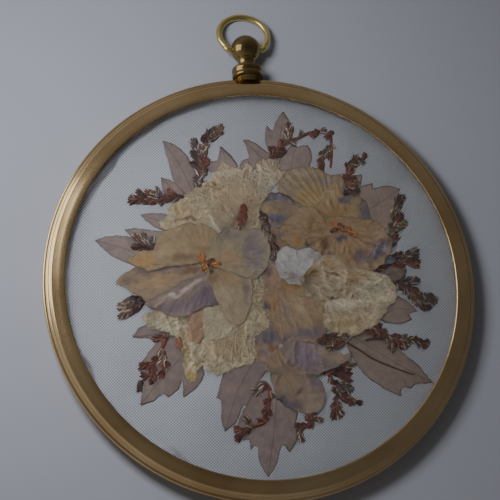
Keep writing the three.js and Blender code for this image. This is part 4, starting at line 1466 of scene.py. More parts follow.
CREAM, TAN, MAUVE, PALE = (kind.value for kind in Petal)
# the crisp petals also get strong painted shade in their hollows and painted highlight on their ridges
CRISP = {"painted_relief_shade": 0.45, "raggedness": 0.34, "corner": 14, "cell": 0.18, "spread": 0.25}
PETALS: tuple[Film, ...] = (
    Film(
        # strong painted shade in the hollows and painted highlight on the ridges
        "low_flower", CREAM, "#b3a27f", LOW, painted_relief_shade=0.6, raggedness=0.34, corner=14, crumple=0.17,
        crumple_mm=1.8, grit=0.14, cell=0.18, spread=0.25,
        rough=(
            Rough(-23.5, -9, 5.5, 3.5, 0, 1.7), Rough(-16, -17, 6, 4.5, 90, 1.7),
            Rough(-1.8, -6, 7, 2.6, 90, 1.7), Rough(-6, -18.5, 3.6, 2, 0, 1.5),
            Rough(-9, -14.4, 4.8, 2.6, 0, 0.3),
        ),
        folds=(
            Fold(((-12.4, -9.6), (-13, -13.4), (-12.6, -17.6)), 0.3, 0.4),
            Fold(((-16.6, -8.4), (-17.6, -13), (-17.4, -19.4)), 0.28, 0.35),
            Fold(((-20.4, -7.8), (-20.2, -11.4)), 0.25, 0.3),
            Fold(((-4.6, -9.4), (-5.6, -13), (-5.2, -16.6)), 0.3, 0.4),
        ),
        patches=(
            Patch(-18.2, -21, 1.6, 1.2, 0, "#ad9450"), Patch(-9, -14.4, 5, 3.4, 0, "#b9a078"),
            Patch(-3, -14.5, 2.6, 3.4, 0, "#a69779"), Patch(-23, -10, 4, 1.4, 0, "#c2b797"),
            Patch(-16, -13, 1.2, 4, 0, "#c4b896"), Patch(-19.6, -15, 1.4, 3, 0, "#9c8359"),
        ),
    ),
    Film("low_flower_strip_petal", TAN, "#a98766", LOW, crumple=0.1, pleat=0.08, pleats=3.4),
    Film("low_flower_pale_petal", CREAM, "#c0b18d", LOW, crumple=0.08, spread=0.2),
    Film(
        "small_flower_left_petal", TAN, "#a08465", SMALL, crumple=0.12, pleat=0.08, grit=0.05,
        outline=(
            (-0.2, 2), (0.6, 3.4), (2, 4.2), (3.6, 3.4), (4.6, 1.6), (3.8, -0.8), (2.8, -3.4), (2.6, -8),
            (3.6, -10.4), (3.2, -13.2), (2, -15), (0.6, -17), (-1, -18.4), (-3.2, -18), (-3, -13),
            (-0.6, -11.6), (0.7, -10.8), (0.2, -7.6), (-0.6, -5), (0, -2),
        ),
        patches=(
            Patch(-0.2, -6.4, 0.7, 2.2, -20, "#3f3d4e"), Patch(-0.4, -9.4, 1.2, 1, 0, "#57586c"),
            Patch(0, -12.6, 3.2, 1.6, 0, "#5c5668"), Patch(2.6, -6.6, 1.2, 2.4, 0, "#94703f"),
            Patch(1.2, -15.4, 1.4, 1.2, 0, "#86582e"), Patch(1.2, 2.6, 1.2, 1.4, 0, "#6c5a5e"),
            Patch(-1.6, -16.6, 1.2, 1, 0, "#6d6271"),
        ),
    ),
    Film(
        "small_flower_right_petal", TAN, "#a58a68", SMALL, crumple=0.1, pleat=0.06, pleats=3.6, level=4.25,
        outline=(
            (-1.4, -4.6), (0.4, -3.7), (2.4, -2.6), (4, -0.2), (5.6, 1), (9, 0.8), (9.4, -2.6),
            (13.8, -4.4), (15.2, -6.4), (14.6, -9.6), (13.6, -11.8), (13, -13.2), (11.4, -14.6), (9, -14.4),
            (6.8, -13.9), (4.4, -15.4), (2.4, -14), (3.2, -10.6), (1, -9), (0.3, -7.2),
        ),
        folds=(
            Fold(((6.5, -3.8), (9.4, -4.6), (14, -4.8)), 0.25, 0.22),
            Fold(((4.6, -4), (6.2, -8.6), (7, -13.6)), 0.18, 0.3),
            Fold(((8.4, -5.6), (10.2, -9.6), (10.8, -14)), 0.2, 0.3),
        ),
        patches=(
            Patch(6.6, -1.2, 2.6, 1.8, 0, "#9c7240"), Patch(9.4, -12.6, 4.6, 1.9, 0, "#77686f"),
            Patch(3.8, -13.6, 1.6, 1.2, 0, "#6e5f6a"), Patch(-0.4, -5.8, 1.1, 0.8, 60, "#39384a"),
            Patch(2, -5, 1.2, 2.2, 0, "#95703f"), Patch(4.6, -7.4, 0.8, 3, 10, "#8d7a6c"),
            Patch(12.4, -6.6, 1.8, 2, 0, "#b39c72"), Patch(8.2, -7.6, 1.2, 3, 14, "#b59e78"),
        ),
    ),
    Film(
        "right_flower_pale_petal", PALE, "#b5b0a6", RIGHT, crumple=0.12, pleat=0.12, pleats=3.5, grit=0.05,
        cell=0.2,
        outline=(
            (3.2, 4.5), (3.8, 6.4), (5, 7.8), (6, 8.1), (7.4, 7.2), (9, 7), (10.4, 7.6), (11.6, 7.4),
            (13.6, 6), (13.8, 4), (12.4, 3), (10, 0.9), (8.6, -0.6), (6.4, -0.6), (4.6, 0.4), (3.6, 2.2),
        ),
        folds=(
            Fold(((4.4, 6.6), (6.6, 4.4), (9.4, 2)), 0.2, 0.25),
            Fold(((6.4, 7.4), (8.4, 5), (11.4, 3)), 0.2, 0.25), Fold(((9.6, 6.6), (11.4, 5)), 0.16, 0.22),
        ),
        patches=(Patch(12, 5.6, 1.6, 1.2, 0, "#9d9185"), Patch(6, 1, 2, 1, -10, "#8e8270")),
    ),
    Film(
        "double_flower_top_petal", TAN, "#998463", DOUBLE, crumple=0.1, pleat=0.16, pleats=4.6, cell=0.22,
        outline=(
            (5.2, 21.2), (5.9, 24.6), (7.2, 26.4), (10, 27.2), (13.4, 27.3), (16.2, 26.2), (18, 25.2),
            (20.4, 25.4), (21, 23), (20, 20), (17.5, 16.5), (14.5, 14.6), (11.5, 16), (9, 18), (7, 19.4),
        ),
        patches=(
            Patch(12, 20, 4.4, 2.2, 20, "#a48851"), Patch(7.6, 21.8, 2, 2.2, 0, "#917d66"),
            Patch(17.6, 24, 2.6, 1, 0, "#8d7f78"), Patch(10.6, 25.8, 3, 1, 0, "#a2927a"),
            Patch(14.2, 16.6, 1.6, 1.8, 40, "#7f5a34"),
        ),
    ),
    Film(
        "double_flower_left_petal", MAUVE, "#83705f", DOUBLE, crumple=0.14, pleat=0.06, pleats=3.6,
        grit=0.05,
        outline=(
            (0, 18.2), (1.4, 20.4), (3.6, 21.3), (5.8, 20.7), (8, 19.4), (10.4, 17.6), (12.4, 15.2),
            (10.5, 12), (7.2, 10.8), (5.2, 10.9), (3.8, 11.8), (2.2, 13.4), (0.8, 15.2), (0.3, 16.8),
            (-0.4, 17.4),
        ),
        folds=(
            Fold(((7, 20.4), (8.2, 18.8), (9.8, 17.4)), 0.22, 0.22),
            Fold(((1.4, 17.4), (5, 16.4), (9, 14.6)), 0.16, 0.3),
        ),
        patches=(
            Patch(4.6, 20, 3.4, 1.0, 4, "#4c4d63"), Patch(4.4, 14.9, 2.8, 1.1, -10, "#55556c"),
            Patch(1.2, 18, 1.7, 1, 30, "#a58a5e"), Patch(8.6, 16.6, 2.2, 2, 0, "#927655"),
            # the near-black line at (7.6, 19.8) is painted shade along the crease
            Patch(7.6, 19.8, 0.5, 1.6, 45, "#3c3330"), Patch(4.6, 17.6, 2.6, 0.8, 0, "#90775a"),
        ),
    ),
    Film(
        "double_flower_right_petal", TAN, "#9d845d", DOUBLE, crumple=0.14, pleat=0.07, pleats=3.6,
        grit=0.05,
        outline=(
            (19.8, 21), (20.4, 20), (22, 19.9), (24.2, 19.9), (25.6, 18.8), (26.3, 16.4), (26.5, 13.6),
            (26.2, 11.6), (22, 10.4), (17.6, 10.8), (14.6, 12.6), (13.2, 15.4), (15, 19), (17.4, 22.6),
            (19.4, 24.2),
        ),
        patches=(
            Patch(25.4, 15.2, 1.3, 4.4, 0, "#57556b"), Patch(21.2, 19.4, 1.9, 1.0, 10, "#59576c"),
            Patch(18.5, 16, 2.8, 2.2, 0, "#967844"), Patch(14.6, 16.2, 0.7, 1.9, 30, "#8f6236"),
            Patch(22.6, 14.4, 1.6, 2.8, 0, "#a98f5f"),
        ),
    ),
    Film(
        "double_flower_low_petal", TAN, "#99805e", DOUBLE, crumple=0.14, pleat=0.1, grit=0.05,
        outline=(
            (4.4, 11.4), (5.4, 9.9), (6.8, 8.9), (7.8, 8), (9.4, 7.6), (10.8, 8.3), (11.6, 9.6), (14.6, 11),
            (15.6, 14), (13, 17.4), (9.6, 17), (6.4, 14.2),
        ),
        patches=(
            Patch(10.6, 8.8, 0.7, 0.9, 0, "#3c3a4a"), Patch(8.6, 9.6, 1.2, 1.4, 0, "#9c7640"),
            Patch(6, 12.2, 1.6, 1.2, 0, "#8e6c4a"), Patch(5, 11, 0.9, 0.6, 0, "#4d4a58"),
            Patch(12.4, 13.4, 1.8, 2, 0, "#8b6a42"),
        ),
    ),
    Film(
        "double_flower_low_right_petal", TAN, "#a0835f", DOUBLE, crumple=0.16, pleat=0.14, pleats=4.4,
        grit=0.06, cell=0.24,
        outline=(
            (10.6, 9.8), (11.4, 8.4), (13, 7.2), (14.2, 5.6), (15.8, 5.2), (17.2, 5.4), (18.4, 3.8),
            (20.6, 2.4), (23.6, 1.8), (26.2, 2.2), (28, 3.4), (29, 4.6), (30.4, 6.6), (31.2, 8.6),
            (30.2, 10.2), (29.2, 12), (27, 13.6), (22, 14.6), (17, 14.6), (13, 13),
        ),
        folds=(
            Fold(((17.6, 5.6), (19.4, 8), (20.6, 11)), 0.24, 0.3, True),
            Fold(((24.4, 4.2), (26.6, 7), (29.4, 9.6)), 0.24, 0.26),
            Fold(((13.2, 7.6), (15.4, 9.8), (17.6, 12)), 0.2, 0.28),
        ),
        patches=(
            Patch(28, 6.6, 3.9, 1.0, 50, "#434158"), Patch(29.6, 6.9, 3, 0.5, 50, "#8f8388"),
            Patch(26, 6.2, 3, 0.7, 50, "#8f8285"), Patch(23.4, 5.6, 2.2, 1.8, 20, "#75635f"),
            Patch(28.4, 10.6, 1.6, 1.4, 0, "#ad8f74"), Patch(14.7, 8.7, 1.5, 1.2, 0, "#6d4c2c"),
            Patch(16, 5.9, 1, 0.5, 0, "#45435a"), Patch(19.2, 9.8, 0.9, 0.6, 0, "#4a485c"),
            Patch(19.6, 5.2, 1.4, 1.4, 0, "#9d8156"),
        ),
    ),
    Film(
        # strong painted shade in the hollows and painted highlight on the ridges
        "right_flower_main_petal", CREAM, "#b4a182", (8.6, 1.2), painted_relief_shade=0.6, raggedness=0.3, corner=14,
        crumple=0.16, crumple_mm=1.7, stretch=2.2, grit=0.1, grit_mm=0.7, cell=0.18, pleat=0.05, pleats=1.6,
        outline=(
            (8.6, -0.4), (9.2, 0.8), (10.8, 2.2), (12, 3.6), (13, 4.5), (14.4, 5.6), (16.4, 5.6),
            (18.6, 3.6), (20, 2.2), (24, 1.6), (27, 0.8), (28.8, 0.5), (29.6, -0.8), (30.8, -2.4),
            (30.6, -5.4), (28.4, -7), (26.4, -9.6), (23, -12), (19.4, -13.4), (17, -14.2), (15.2, -12.6),
            (13.4, -11.2), (13.4, -9), (14.2, -6), (13.8, -4.6), (9.6, -3.4), (9.6, -1.2),
        ),
        folds=(
            Fold(((8.8, -0.2), (9.6, 1), (11.4, 2.4), (12.6, 3.4), (13.2, 4.4)), 0.28, 0.3),
            Fold(((13.9, 3.4), (14.2, 1.4), (14.6, -0.8)), 0.25, 0.26),
            Fold(((13.8, 2.8), (16.4, 1.9), (19.2, 1.2)), 0.3, 0.26, True),
            Fold(((14.6, -1), (12.8, -1.8), (11.2, -1.4)), 0.22, 0.26),
            Fold(((12.6, -2), (13.2, -4.8)), 0.2, 0.26),
            Fold(((14.8, -1.4), (15.6, -2.4), (17.6, -1.6), (19, -0.6), (19.6, 2)), 0.3, 0.28),
            Fold(((19, -1), (18.6, -3.6)), 0.2, 0.26),
            Fold(((17, -4.6), (21, -5.2), (25, -5.6), (28.6, -4.4), (30.4, -4)), 0.28, 0.34, True),
            Fold(((20, -4.2), (23, -1.8), (26.4, -0.8), (28.8, 0.4)), 0.26, 0.3),
            Fold(((14.4, -9.6), (19, -9.4), (23.4, -8.6), (26, -7.2)), 0.26, 0.3),
            Fold(((16, -11.8), (20, -11.4), (23.2, -10), (24.4, -9)), 0.24, 0.3, True),
            Fold(((25.2, -7.4), (26.8, -8.6)), 0.2, 0.26),
        ),
        patches=(
            Patch(11.5, 1.6, 2, 1.6, 0, "#94764c"), Patch(16, 3.6, 2.2, 1.4, -30, "#a98c5f"),
            Patch(18.4, -6, 4.6, 1.2, 0, "#c6baa0"), Patch(18.4, -10.6, 4.4, 2.2, 5, "#a18a5c"),
            # the dark line at (16, -4.5) is a painted shadow below the raised crease
            Patch(26.4, -2.8, 4.2, 3, 0, "#c3b898"), Patch(16, -4.5, 1.6, 0.3, 0, "#4d3b28"),
            # the dark line at (16.6, 1.1) is painted shade beside the crease above it
            Patch(16.6, 1.1, 2.4, 0.3, -15, "#6d5434"), Patch(22, 0.4, 2.6, 0.9, 0, "#a88c60"),
        ),
    ),
    Film(
        "top_flower_left_petal", CREAM, "#bba683", TOP, crumple=0.16, crumple_mm=1.7, grit=0.14, **CRISP,
        rough=(Rough(-15.5, 19.5, 5, 3.4, 0, 1.9), Rough(-11, 14, 3.4, 2.6, 0, 0.4)),
        folds=(
            Fold(((-12, 17), (-10.6, 14), (-9.8, 12.6)), 0.3, 0.36),
            Fold(((-18.6, 19), (-16.6, 19.9), (-14.2, 20.6)), 0.26, 0.24),
            Fold(((-17.8, 14.8), (-14.8, 15.6), (-12.6, 16.6)), 0.26, 0.26, True),
        ),
        patches=(
            # the dark line at (-16.6, 15.4) is painted shade along the crease
            Patch(-10.8, 14, 2.4, 0.6, -60, "#d6cab2"), Patch(-16.6, 15.4, 3.2, 0.4, 12, "#6d5334"),
            Patch(-18, 17.4, 2.4, 1.4, 0, "#b39a6a"), Patch(-13, 20, 3, 1.6, 0, "#c9b897"),
        ),
    ),
    Film(
        "top_flower_upper_petal", CREAM, "#b8a583", TOP, crumple=0.16, crumple_mm=1.7, grit=0.13, **CRISP,
        rough=(Rough(-10.5, 24.5, 3.8, 3, 0, 1.9), Rough(-4.5, 19.5, 4.6, 4, 0, 0.25)),
        folds=(
            Fold(((-7.2, 28.6), (-8.6, 26.4), (-10, 24.6)), 0.28, 0.3),
            Fold(((-4.2, 26.6), (-2.8, 27.4), (-1.8, 28.8)), 0.26, 0.26),
            Fold(((-11.6, 22.6), (-9, 22.4), (-7, 23.2)), 0.26, 0.26),
            Fold(((-9.2, 20), (-7.4, 17.6), (-7.2, 14.8)), 0.22, 0.26),
            Fold(((-3, 24.6), (-3.8, 21.6), (-4, 18.4)), 0.14, 0.3),
        ),
        patches=(
            # the dark line at (-9.4, 22.5) and the spot at (-9.8, 23.8) are painted shade in the creases
            Patch(-5, 20.2, 4.4, 3.6, 0, "#c8ad87"), Patch(-9.4, 22.5, 2.4, 0.4, 0, "#8a6a38"),
            Patch(-9.8, 23.8, 0.6, 0.6, 0, "#5b3d20"), Patch(-6, 27, 3, 1.2, 20, "#c8ba9a"),
            Patch(-8.2, 17.4, 0.5, 2.6, 15, "#9c7c54"),
        ),
    ),
    Film(
        "top_flower_right_petal", CREAM, "#a69579", TOP, crumple=0.15, crumple_mm=1.8, grit=0.12, **CRISP,
        rough=(Rough(0.6, 26, 3.4, 2.6, 0, 1.7), Rough(-2, 18, 2.6, 3.6, 0, 0.5)),
        folds=(
            Fold(((1.2, 28.4), (1.4, 26), (0.4, 23.6)), 0.26, 0.28),
            Fold(((5.6, 24.8), (4, 23), (2.6, 20.4)), 0.3, 0.3, True),
            Fold(((-0.2, 17), (-0.4, 14), (0.2, 12)), 0.22, 0.26),
        ),
        patches=(
            Patch(3.2, 22.8, 2, 1.4, 0, "#a39a83"), Patch(-4, 14.6, 2.6, 2, 0, "#b0966e"),
            Patch(1, 26.6, 2, 1.6, 0, "#bcae8e"), Patch(-2.2, 19, 1.8, 2.6, 0, "#b4976f"),
        ),
    ),
    Film(
        "front_flower_left_petal", MAUVE, "#937d62", FRONT, grit=0.05, crumple=0.08, pleat=0.06, pleats=3.6,
        patches=(
            Patch(-24.5, 3.7, 5.4, 1.0, 8, "#6d5a5c"), Patch(-21, 4.5, 1.7, 0.7, 0, "#44405a"),
            Patch(-24, 0.8, 6, 1.5, 10, "#ab8d62"), Patch(-31, 1.2, 2, 1, 10, "#7d664e"),
            Patch(-17, 3, 3, 0.8, 5, "#6f5138"),
        ),
    ),
    Film(
        "front_flower_low_left_petal", MAUVE, "#867365", FRONT, grit=0.05, crumple=0.08, pleat=0.12,
        pleats=5.0, folds=(Fold(((-24.5, -5), (-19.5, -1.8), (-14, 1)), 0.3, 0.3, True),),
        patches=(
            # the light line at (-19.4, -1.9) is a painted highlight along the fold's ridge
            Patch(-13.6, -3.2, 2.2, 2.6, 0, "#5d5058"), Patch(-19.4, -1.9, 5.6, 0.5, 30, "#c4aca0"),
            Patch(-19, -5.2, 5, 1.2, 10, "#75626a"), Patch(-24, -4, 1.6, 0.8, 30, "#a18974"),
        ),
    ),
    Film(
        "front_flower_low_petal", TAN, "#a59070", FRONT, grit=0.05, crumple=0.07, pleat=0.07, pleats=3.6,
        patches=(
            Patch(-4.2, -1.5, 1.2, 3, 0, "#7d6c62"), Patch(-8, 1, 3, 2, 0, "#9f8159"),
            Patch(-9.4, -4.6, 1.4, 2, 0, "#b8a07e"), Patch(-12.4, 1.4, 1.6, 1.4, 0, "#8a6946"),
        ),
    ),
    Film(
        "front_flower_upper_left_petal", TAN, "#9b8662", FRONT, grit=0.05, crumple=0.09, pleat=0.1,
        pleats=4.0,
        folds=(
            Fold(((-20, 7.4), (-15.6, 8), (-11, 7)), 0.18, 0.3),
            Fold(((-19.4, 9.6), (-15, 10.4), (-11.6, 9)), 0.16, 0.3),
        ),
        patches=(
            Patch(-27.6, 5.5, 3, 1.5, 25, "#bb8d4e"), Patch(-14, 11, 3, 1.8, 0, "#9c805a"),
            Patch(-18, 6.5, 4, 0.9, 5, "#836248"), Patch(-13.4, 8, 2.6, 0.8, 0, "#8a6844"),
            Patch(-22, 8, 2.4, 1.2, 20, "#b79b73"),
        ),
    ),
    Film(
        "front_flower_round_petal", MAUVE, "#988869", FRONT, crumple=0.08, pleat=0.07, pleats=3.6,
        grit=0.04, rough=(Rough(-2, 4.6, 3, 3.4, 0, 2.6),),
        patches=(
            Patch(-2, 7.4, 3, 5, 0, "#7c6d6a"), Patch(-7, 11.6, 4, 1.0, 0, "#837368"),
            Patch(-8, 5.8, 3, 2, 0, "#a4865e"), Patch(-2.4, 3.6, 1.4, 0.8, 0, "#8c8076"),
            Patch(-10.8, 3.6, 1.6, 0.7, 0, "#b5a182"),
        ),
    ),
    Film(
        "lumpy_flower_upper_petal", MAUVE, "#8c796d", LUMPY, crumple=0.36, crumple_mm=3.6, swell=0.12,
        spread=0.45,
        folds=(
            Fold(((5.8, -14.6), (5.6, -18), (6.2, -21)), 0.26, 0.36),
            Fold(((8, -14.6), (8.2, -18), (8, -21)), 0.28, 0.4),
            Fold(((10.5, -15), (10.6, -18), (10.2, -20.6)), 0.26, 0.36),
            Fold(((12.4, -16.4), (15, -17), (17, -17.6)), 0.24, 0.5),
        ),
        patches=(
            Patch(1.4, -18.4, 2.8, 2.2, 0, "#a68a68"), Patch(8.4, -18, 3.4, 2.6, 0, "#85727c"),
            Patch(14.6, -17.8, 2.8, 1.3, -8, "#a89272"), Patch(4.4, -20, 1, 1.6, 0, "#6e5648"),
        ),
    ),
    Film(
        "lumpy_flower_lower_petal", TAN, "#937d68", LUMPY, crumple=0.36, crumple_mm=3.6, swell=0.12,
        spread=0.2, rough=(Rough(4, -23, 3.6, 3, 0, 0.5),),
        folds=(
            Fold(((0.4, -24), (2.4, -26.4), (5.4, -27.4)), 0.24, 0.34),
            Fold(((6.4, -26.6), (8.6, -26.2), (10.6, -27.4)), 0.26, 0.4),
            Fold(((7.6, -22), (8.8, -24), (9, -26)), 0.24, 0.36),
        ),
        patches=(
            Patch(3.4, -28.2, 2.8, 1.1, -30, "#574c5c"), Patch(8.6, -29, 2.4, 1.6, 0, "#a8967a"),
            Patch(10, -24, 1.4, 2.6, 0, "#7e6d6c"), Patch(4, -23, 2.6, 2.2, 0, "#99815f"),
            Patch(6.2, -25.6, 1.6, 0.6, 40, "#6b4f3a"),
        ),
    ),
)

EXTRA_FILMS: tuple[Film, ...] = (
    Film(
        "middle_petal_scrap", TAN, "#8a7052", (4, 13), crumple=0.12, grit=0.06, level=4.05,
        outline=(
            (-0.6, 14.6), (3, 14.4), (7, 11.6), (10.4, 9.4), (13, 8), (12, 4), (7, 2.4), (3.4, 3.2),
            (1.6, 6.4), (0.2, 9.6),
        ),
    ),
    Film(
        "leaf_stub", LEAF, "#7c6a5c", (27.4, 0), spine=((27.4, 0), (30.4, 1), (33.8, 1.6)),
        outline=((27.2, 0.9), (29.6, 2.2), (32, 2.3), (33.9, 1.6), (32.6, 0.2), (30.8, -0.9), (28.9, -0.6)),
        crumple=0.03, edge_shade=0.74, level=3.86,
    ),
    Film(
        "leaf_scrap", LEAF, "#70777a", (28, 4), spine=((27.6, 5.2), (31, 4.2)),
        outline=((27.4, 6.2), (29.2, 5.9), (30.8, 5), (31.4, 4), (29.6, 3.5), (27.8, 3.4)), crumple=0.05,
        level=4.0,
    ),
    Film(
        "petal_scrap", MAUVE, "#a0674e", (-20.4, -14.6), crumple=0.05,
        outline=((-20.9, -13), (-20.2, -12.6), (-19.8, -13.6), (-20.1, -14.8), (-20.8, -14.6)), level=4.15,
    ),
)

EXTRA_SPRIGS: tuple[Sprig, ...] = (
    Sprig(
        "stem_scrap", [[(18, -14.8), (21, -16.8), (24, -19), (28.6, -21.2), (33, -23)]], (),
        stem_width=0.45, stem_colour="#4e372c", filler=0, level=4.0,
    ),
    Sprig(
        "stem_scrap_short", [[(22.3, -14.6), (24.4, -14.2), (26.7, -14.6)]], (), stem_width=0.4,
        stem_colour="#4b3024", filler=0, level=4.85,
    ),
    Sprig(
        "bract_cluster", [[(12.4, -14.8), (14.4, -14.4), (17.4, -13.6)]],
        [
            Bud(12.8, -14.4, 220, 2.8, 1.6, B.RED), Bud(14.6, -13.4, 20, 3.2, 1.5, B.DARK),
            Bud(14.2, -15.2, 215, 3.2, 1.5, B.CREAM), Bud(15.8, -15.2, 200, 3.2, 1.3, B.RED),
            Bud(17, -13.8, 10, 3, 1.1, B.CREAM),
        ],
        filler=0, level=4.9,
    ),
    Sprig(
        "single_bud", [[(-3.2, 18.1), (-3.9, 15.8), (-4.5, 13.6)]],
        [
            Bud(-3.7, 16.6, 256, 3.6, 1.5, B.ROSE), Bud(-4.2, 14.8, 256, 3.4, 1.2, B.ROSE),
            Bud(-4.6, 13.2, 256, 2, 0.9, B.CREAM),
        ],
        filler=0, level=4.95,
    ),
    Sprig(
        "front_stamens", [[(-12.4, 4.8), (-12.8, 3.6)]],
        [
            Bud(-14, 5.6, 110, 2.4, 1.5, B.ORANGE), Bud(-13.4, 3.9, 240, 2.6, 1.5, B.ORANGE),
            Bud(-12.2, 5, 60, 2, 1.3, B.RED), Bud(-10.9, 4.6, 10, 2.4, 1.4, B.ORANGE),
            Bud(-12.3, 3.1, 280, 1.8, 1.1, B.CREAM),
        ],
        finish=ANTHER, filler=0, level=5.0,
    ),
    Sprig(
        "double_stamens", [[(17.6, 13.4), (20.6, 11.4)]],
        [
            Bud(18, 13.3, 140, 2.6, 1.5, B.ORANGE), Bud(19.4, 12.3, 320, 2.6, 1.4, B.RED),
            Bud(20.6, 11.9, 20, 2.2, 1.3, B.ORANGE), Bud(22, 10.5, 330, 2.2, 1.2, B.ORANGE),
            Bud(17.4, 11.9, 220, 2, 1.1, B.RED),
        ],
        finish=ANTHER, filler=0, level=5.0,
    ),
)


@dataclass
class Arrangement:
    """Everything that was pressed and laid on the pad."""

    nodes: dict[str, bpy.types.Object]
    bed: Bed = field(default_factory=Bed)
    pieces: list[bpy.types.Object] = field(default_factory=list)

    def build(self) -> None:
        """Lays every piece in its order, then lets the pad sink under them."""
        order: list[tuple[float, Film | Sprig, str]] = [
            (piece.level, piece, "") for piece in (*EXTRA_FILMS, *EXTRA_SPRIGS)
        ]
        for name, spine in LEAVES.items():
            tint = LEAF_TINT_RIGHT if "right" in name else LEAF_TINT
            leaf = Film(
                name, LEAF, tint, spine[0], spine=spine, crumple=0.03, crumple_mm=3.0, edge_shade=0.7,
                raggedness=0.12, swell=0.03, spread=0.0, corner=60,
            )
            order.append((self.level(name), leaf, name))
        for name, (stems, buds) in SPRIGS.items():
            look = FEW_BUDS if name in THIN_SPRIGS else {}
            sprig = Sprig(name, stems, [Bud(*row) for row in buds], **look)
            order.append((UPPER_SPRIGS.get(name, self.level(name)), sprig, name))
        for petal in PETALS:
            order.append((petal.level or self.level(petal.name), petal, petal.name))
        for _, piece, name in sorted(order, key=lambda entry: entry[0]):
            self.pieces.append(piece.build(self.bed, self.nodes.get(name)))
        self.bed.press()
        for piece in self.pieces:
            self.bed.lower(piece)

    def level(self, name: str) -> float:
        """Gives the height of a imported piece's underside, in millimetres."""
        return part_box(name)[0][2] / MM


# ---------------------------------------------------------------- the frame and the pad


@dataclass
class Rim:
    """The spun brass rim: a plain wall, two beads and a cove, a sloping face and a lip."""

    outer: float = 50.0
    wall: float = 49.3
    pocket: float = 47.4
    face_edge: float = 48.1
    lip: float = 45.0
    lip_under: float = 6.15
    height: float = 7.0
    drop: float = 0.7
    steps: int = 288

    def section(self) -> list[Point]:
        """Draws the rim's section, from the pocket round the outside to the lip.

        Returns:
            (radius, height) pairs.
        """
        face = self.height - self.drop
        return [
            (self.pocket, 0.0), (self.wall - 0.3, 0.0), *arc_points((self.wall - 0.3, 0.3), 0.3, -90, 0, 4),
            (self.wall, 3.6), *arc_points((self.wall + 0.12, 3.92), 0.14, 180, 90, 2),
            *arc_points((self.outer - 0.45, 4.5), 0.45, -75, 88, 10), (49.3, 4.99), (49.14, 5.04),
            *arc_points((48.95, 5.3), 0.24, -50, 80, 7), (48.86, 5.6),
            *arc_points((48.95, 5.84), 0.24, 200, 160, 3),
            *arc_points((self.face_edge - 0.4, face - 1.0), 1.0, 40, 84, 10), (46.6, face + 0.42),
            *arc_points((self.lip + 0.3, self.height - 0.32), 0.3, 80, 180, 8),
            (self.lip, self.lip_under + 0.06), (self.lip + 0.06, self.lip_under),
            (self.pocket, self.lip_under),
        ]

    def build(self) -> bpy.types.Object:
        """Spins the rim.

        Returns:
            The rim's object.
        """
        bm = spun(self.section(), Vector((0, 0, 1)), Vector(), self.steps)
        piece = finish_piece(bm, "rim_spun", FRAME_BODY, BRASS, "rim")
        set_smooth(piece)
        return piece


@dataclass
class Finial:
    """The turned finial: foot, collar, neck and ball, drilled across for the ring."""

    height: float = 3.9
    ball_y: float = 58.1
    ball: float = 3.55
    neck: float = 2.1
    collar: float = 3.72
    foot: float = 2.9
    hole: float = 0.95
    steps: int = 72

    def build(self) -> bpy.types.Object:
        """Spins the finial and drills it.

        Returns:
            The finial's object.
        """
        ball_start = -math.degrees(math.acos(self.neck / self.ball))
        section = [
            (0.0, 49.36), (self.foot, 49.36), (self.foot, 50.4),
            *arc_points((self.collar - 0.35, 50.85), 0.35, -90, 0, 5), (self.collar, 51.5),
            (self.collar - 0.1, 51.62), (self.collar, 51.74),
            *arc_points((self.collar - 0.6, 52.7), 0.6, 0, 75, 6),
            *arc_points((self.neck + 0.9, 54.1), 0.9, 262, 180, 6),
            *arc_points((0.0, self.ball_y), self.ball, ball_start, 90, 26)[:-1],
            (0.0, self.ball_y + self.ball),
        ]
        centre = Vector((0, 0, self.height))
        bm = spun(section, Vector((0, 1, 0)), centre, self.steps)
        piece = finish_piece(bm, "finial_turned", FRAME_BODY, FINIAL_BRASS_PAINTED_DARKER, "finial")
        drill = bmesh.new()
        bmesh.ops.create_cone(
            drill, cap_ends=True, segments=32, radius1=self.hole, radius2=self.hole, depth=4 * self.ball,
            matrix=Matrix.Translation((0, self.ball_y, self.height)) @ Matrix.Rotation(math.pi / 2, 4, "Y"),
        )
        cutter = placed(drill, "drill")
        cut = piece.modifiers.new("hole", "BOOLEAN")
        cut.object, cut.operation, cut.solver = cutter, "DIFFERENCE", "EXACT"
        depsgraph = bpy.context.evaluated_depsgraph_get()
        mesh = bpy.data.meshes.new_from_object(piece.evaluated_get(depsgraph))
        piece.modifiers.clear()
        piece.data = mesh
        bpy.data.objects.remove(cutter, do_unlink=True)
        set_smooth(piece)
        return piece


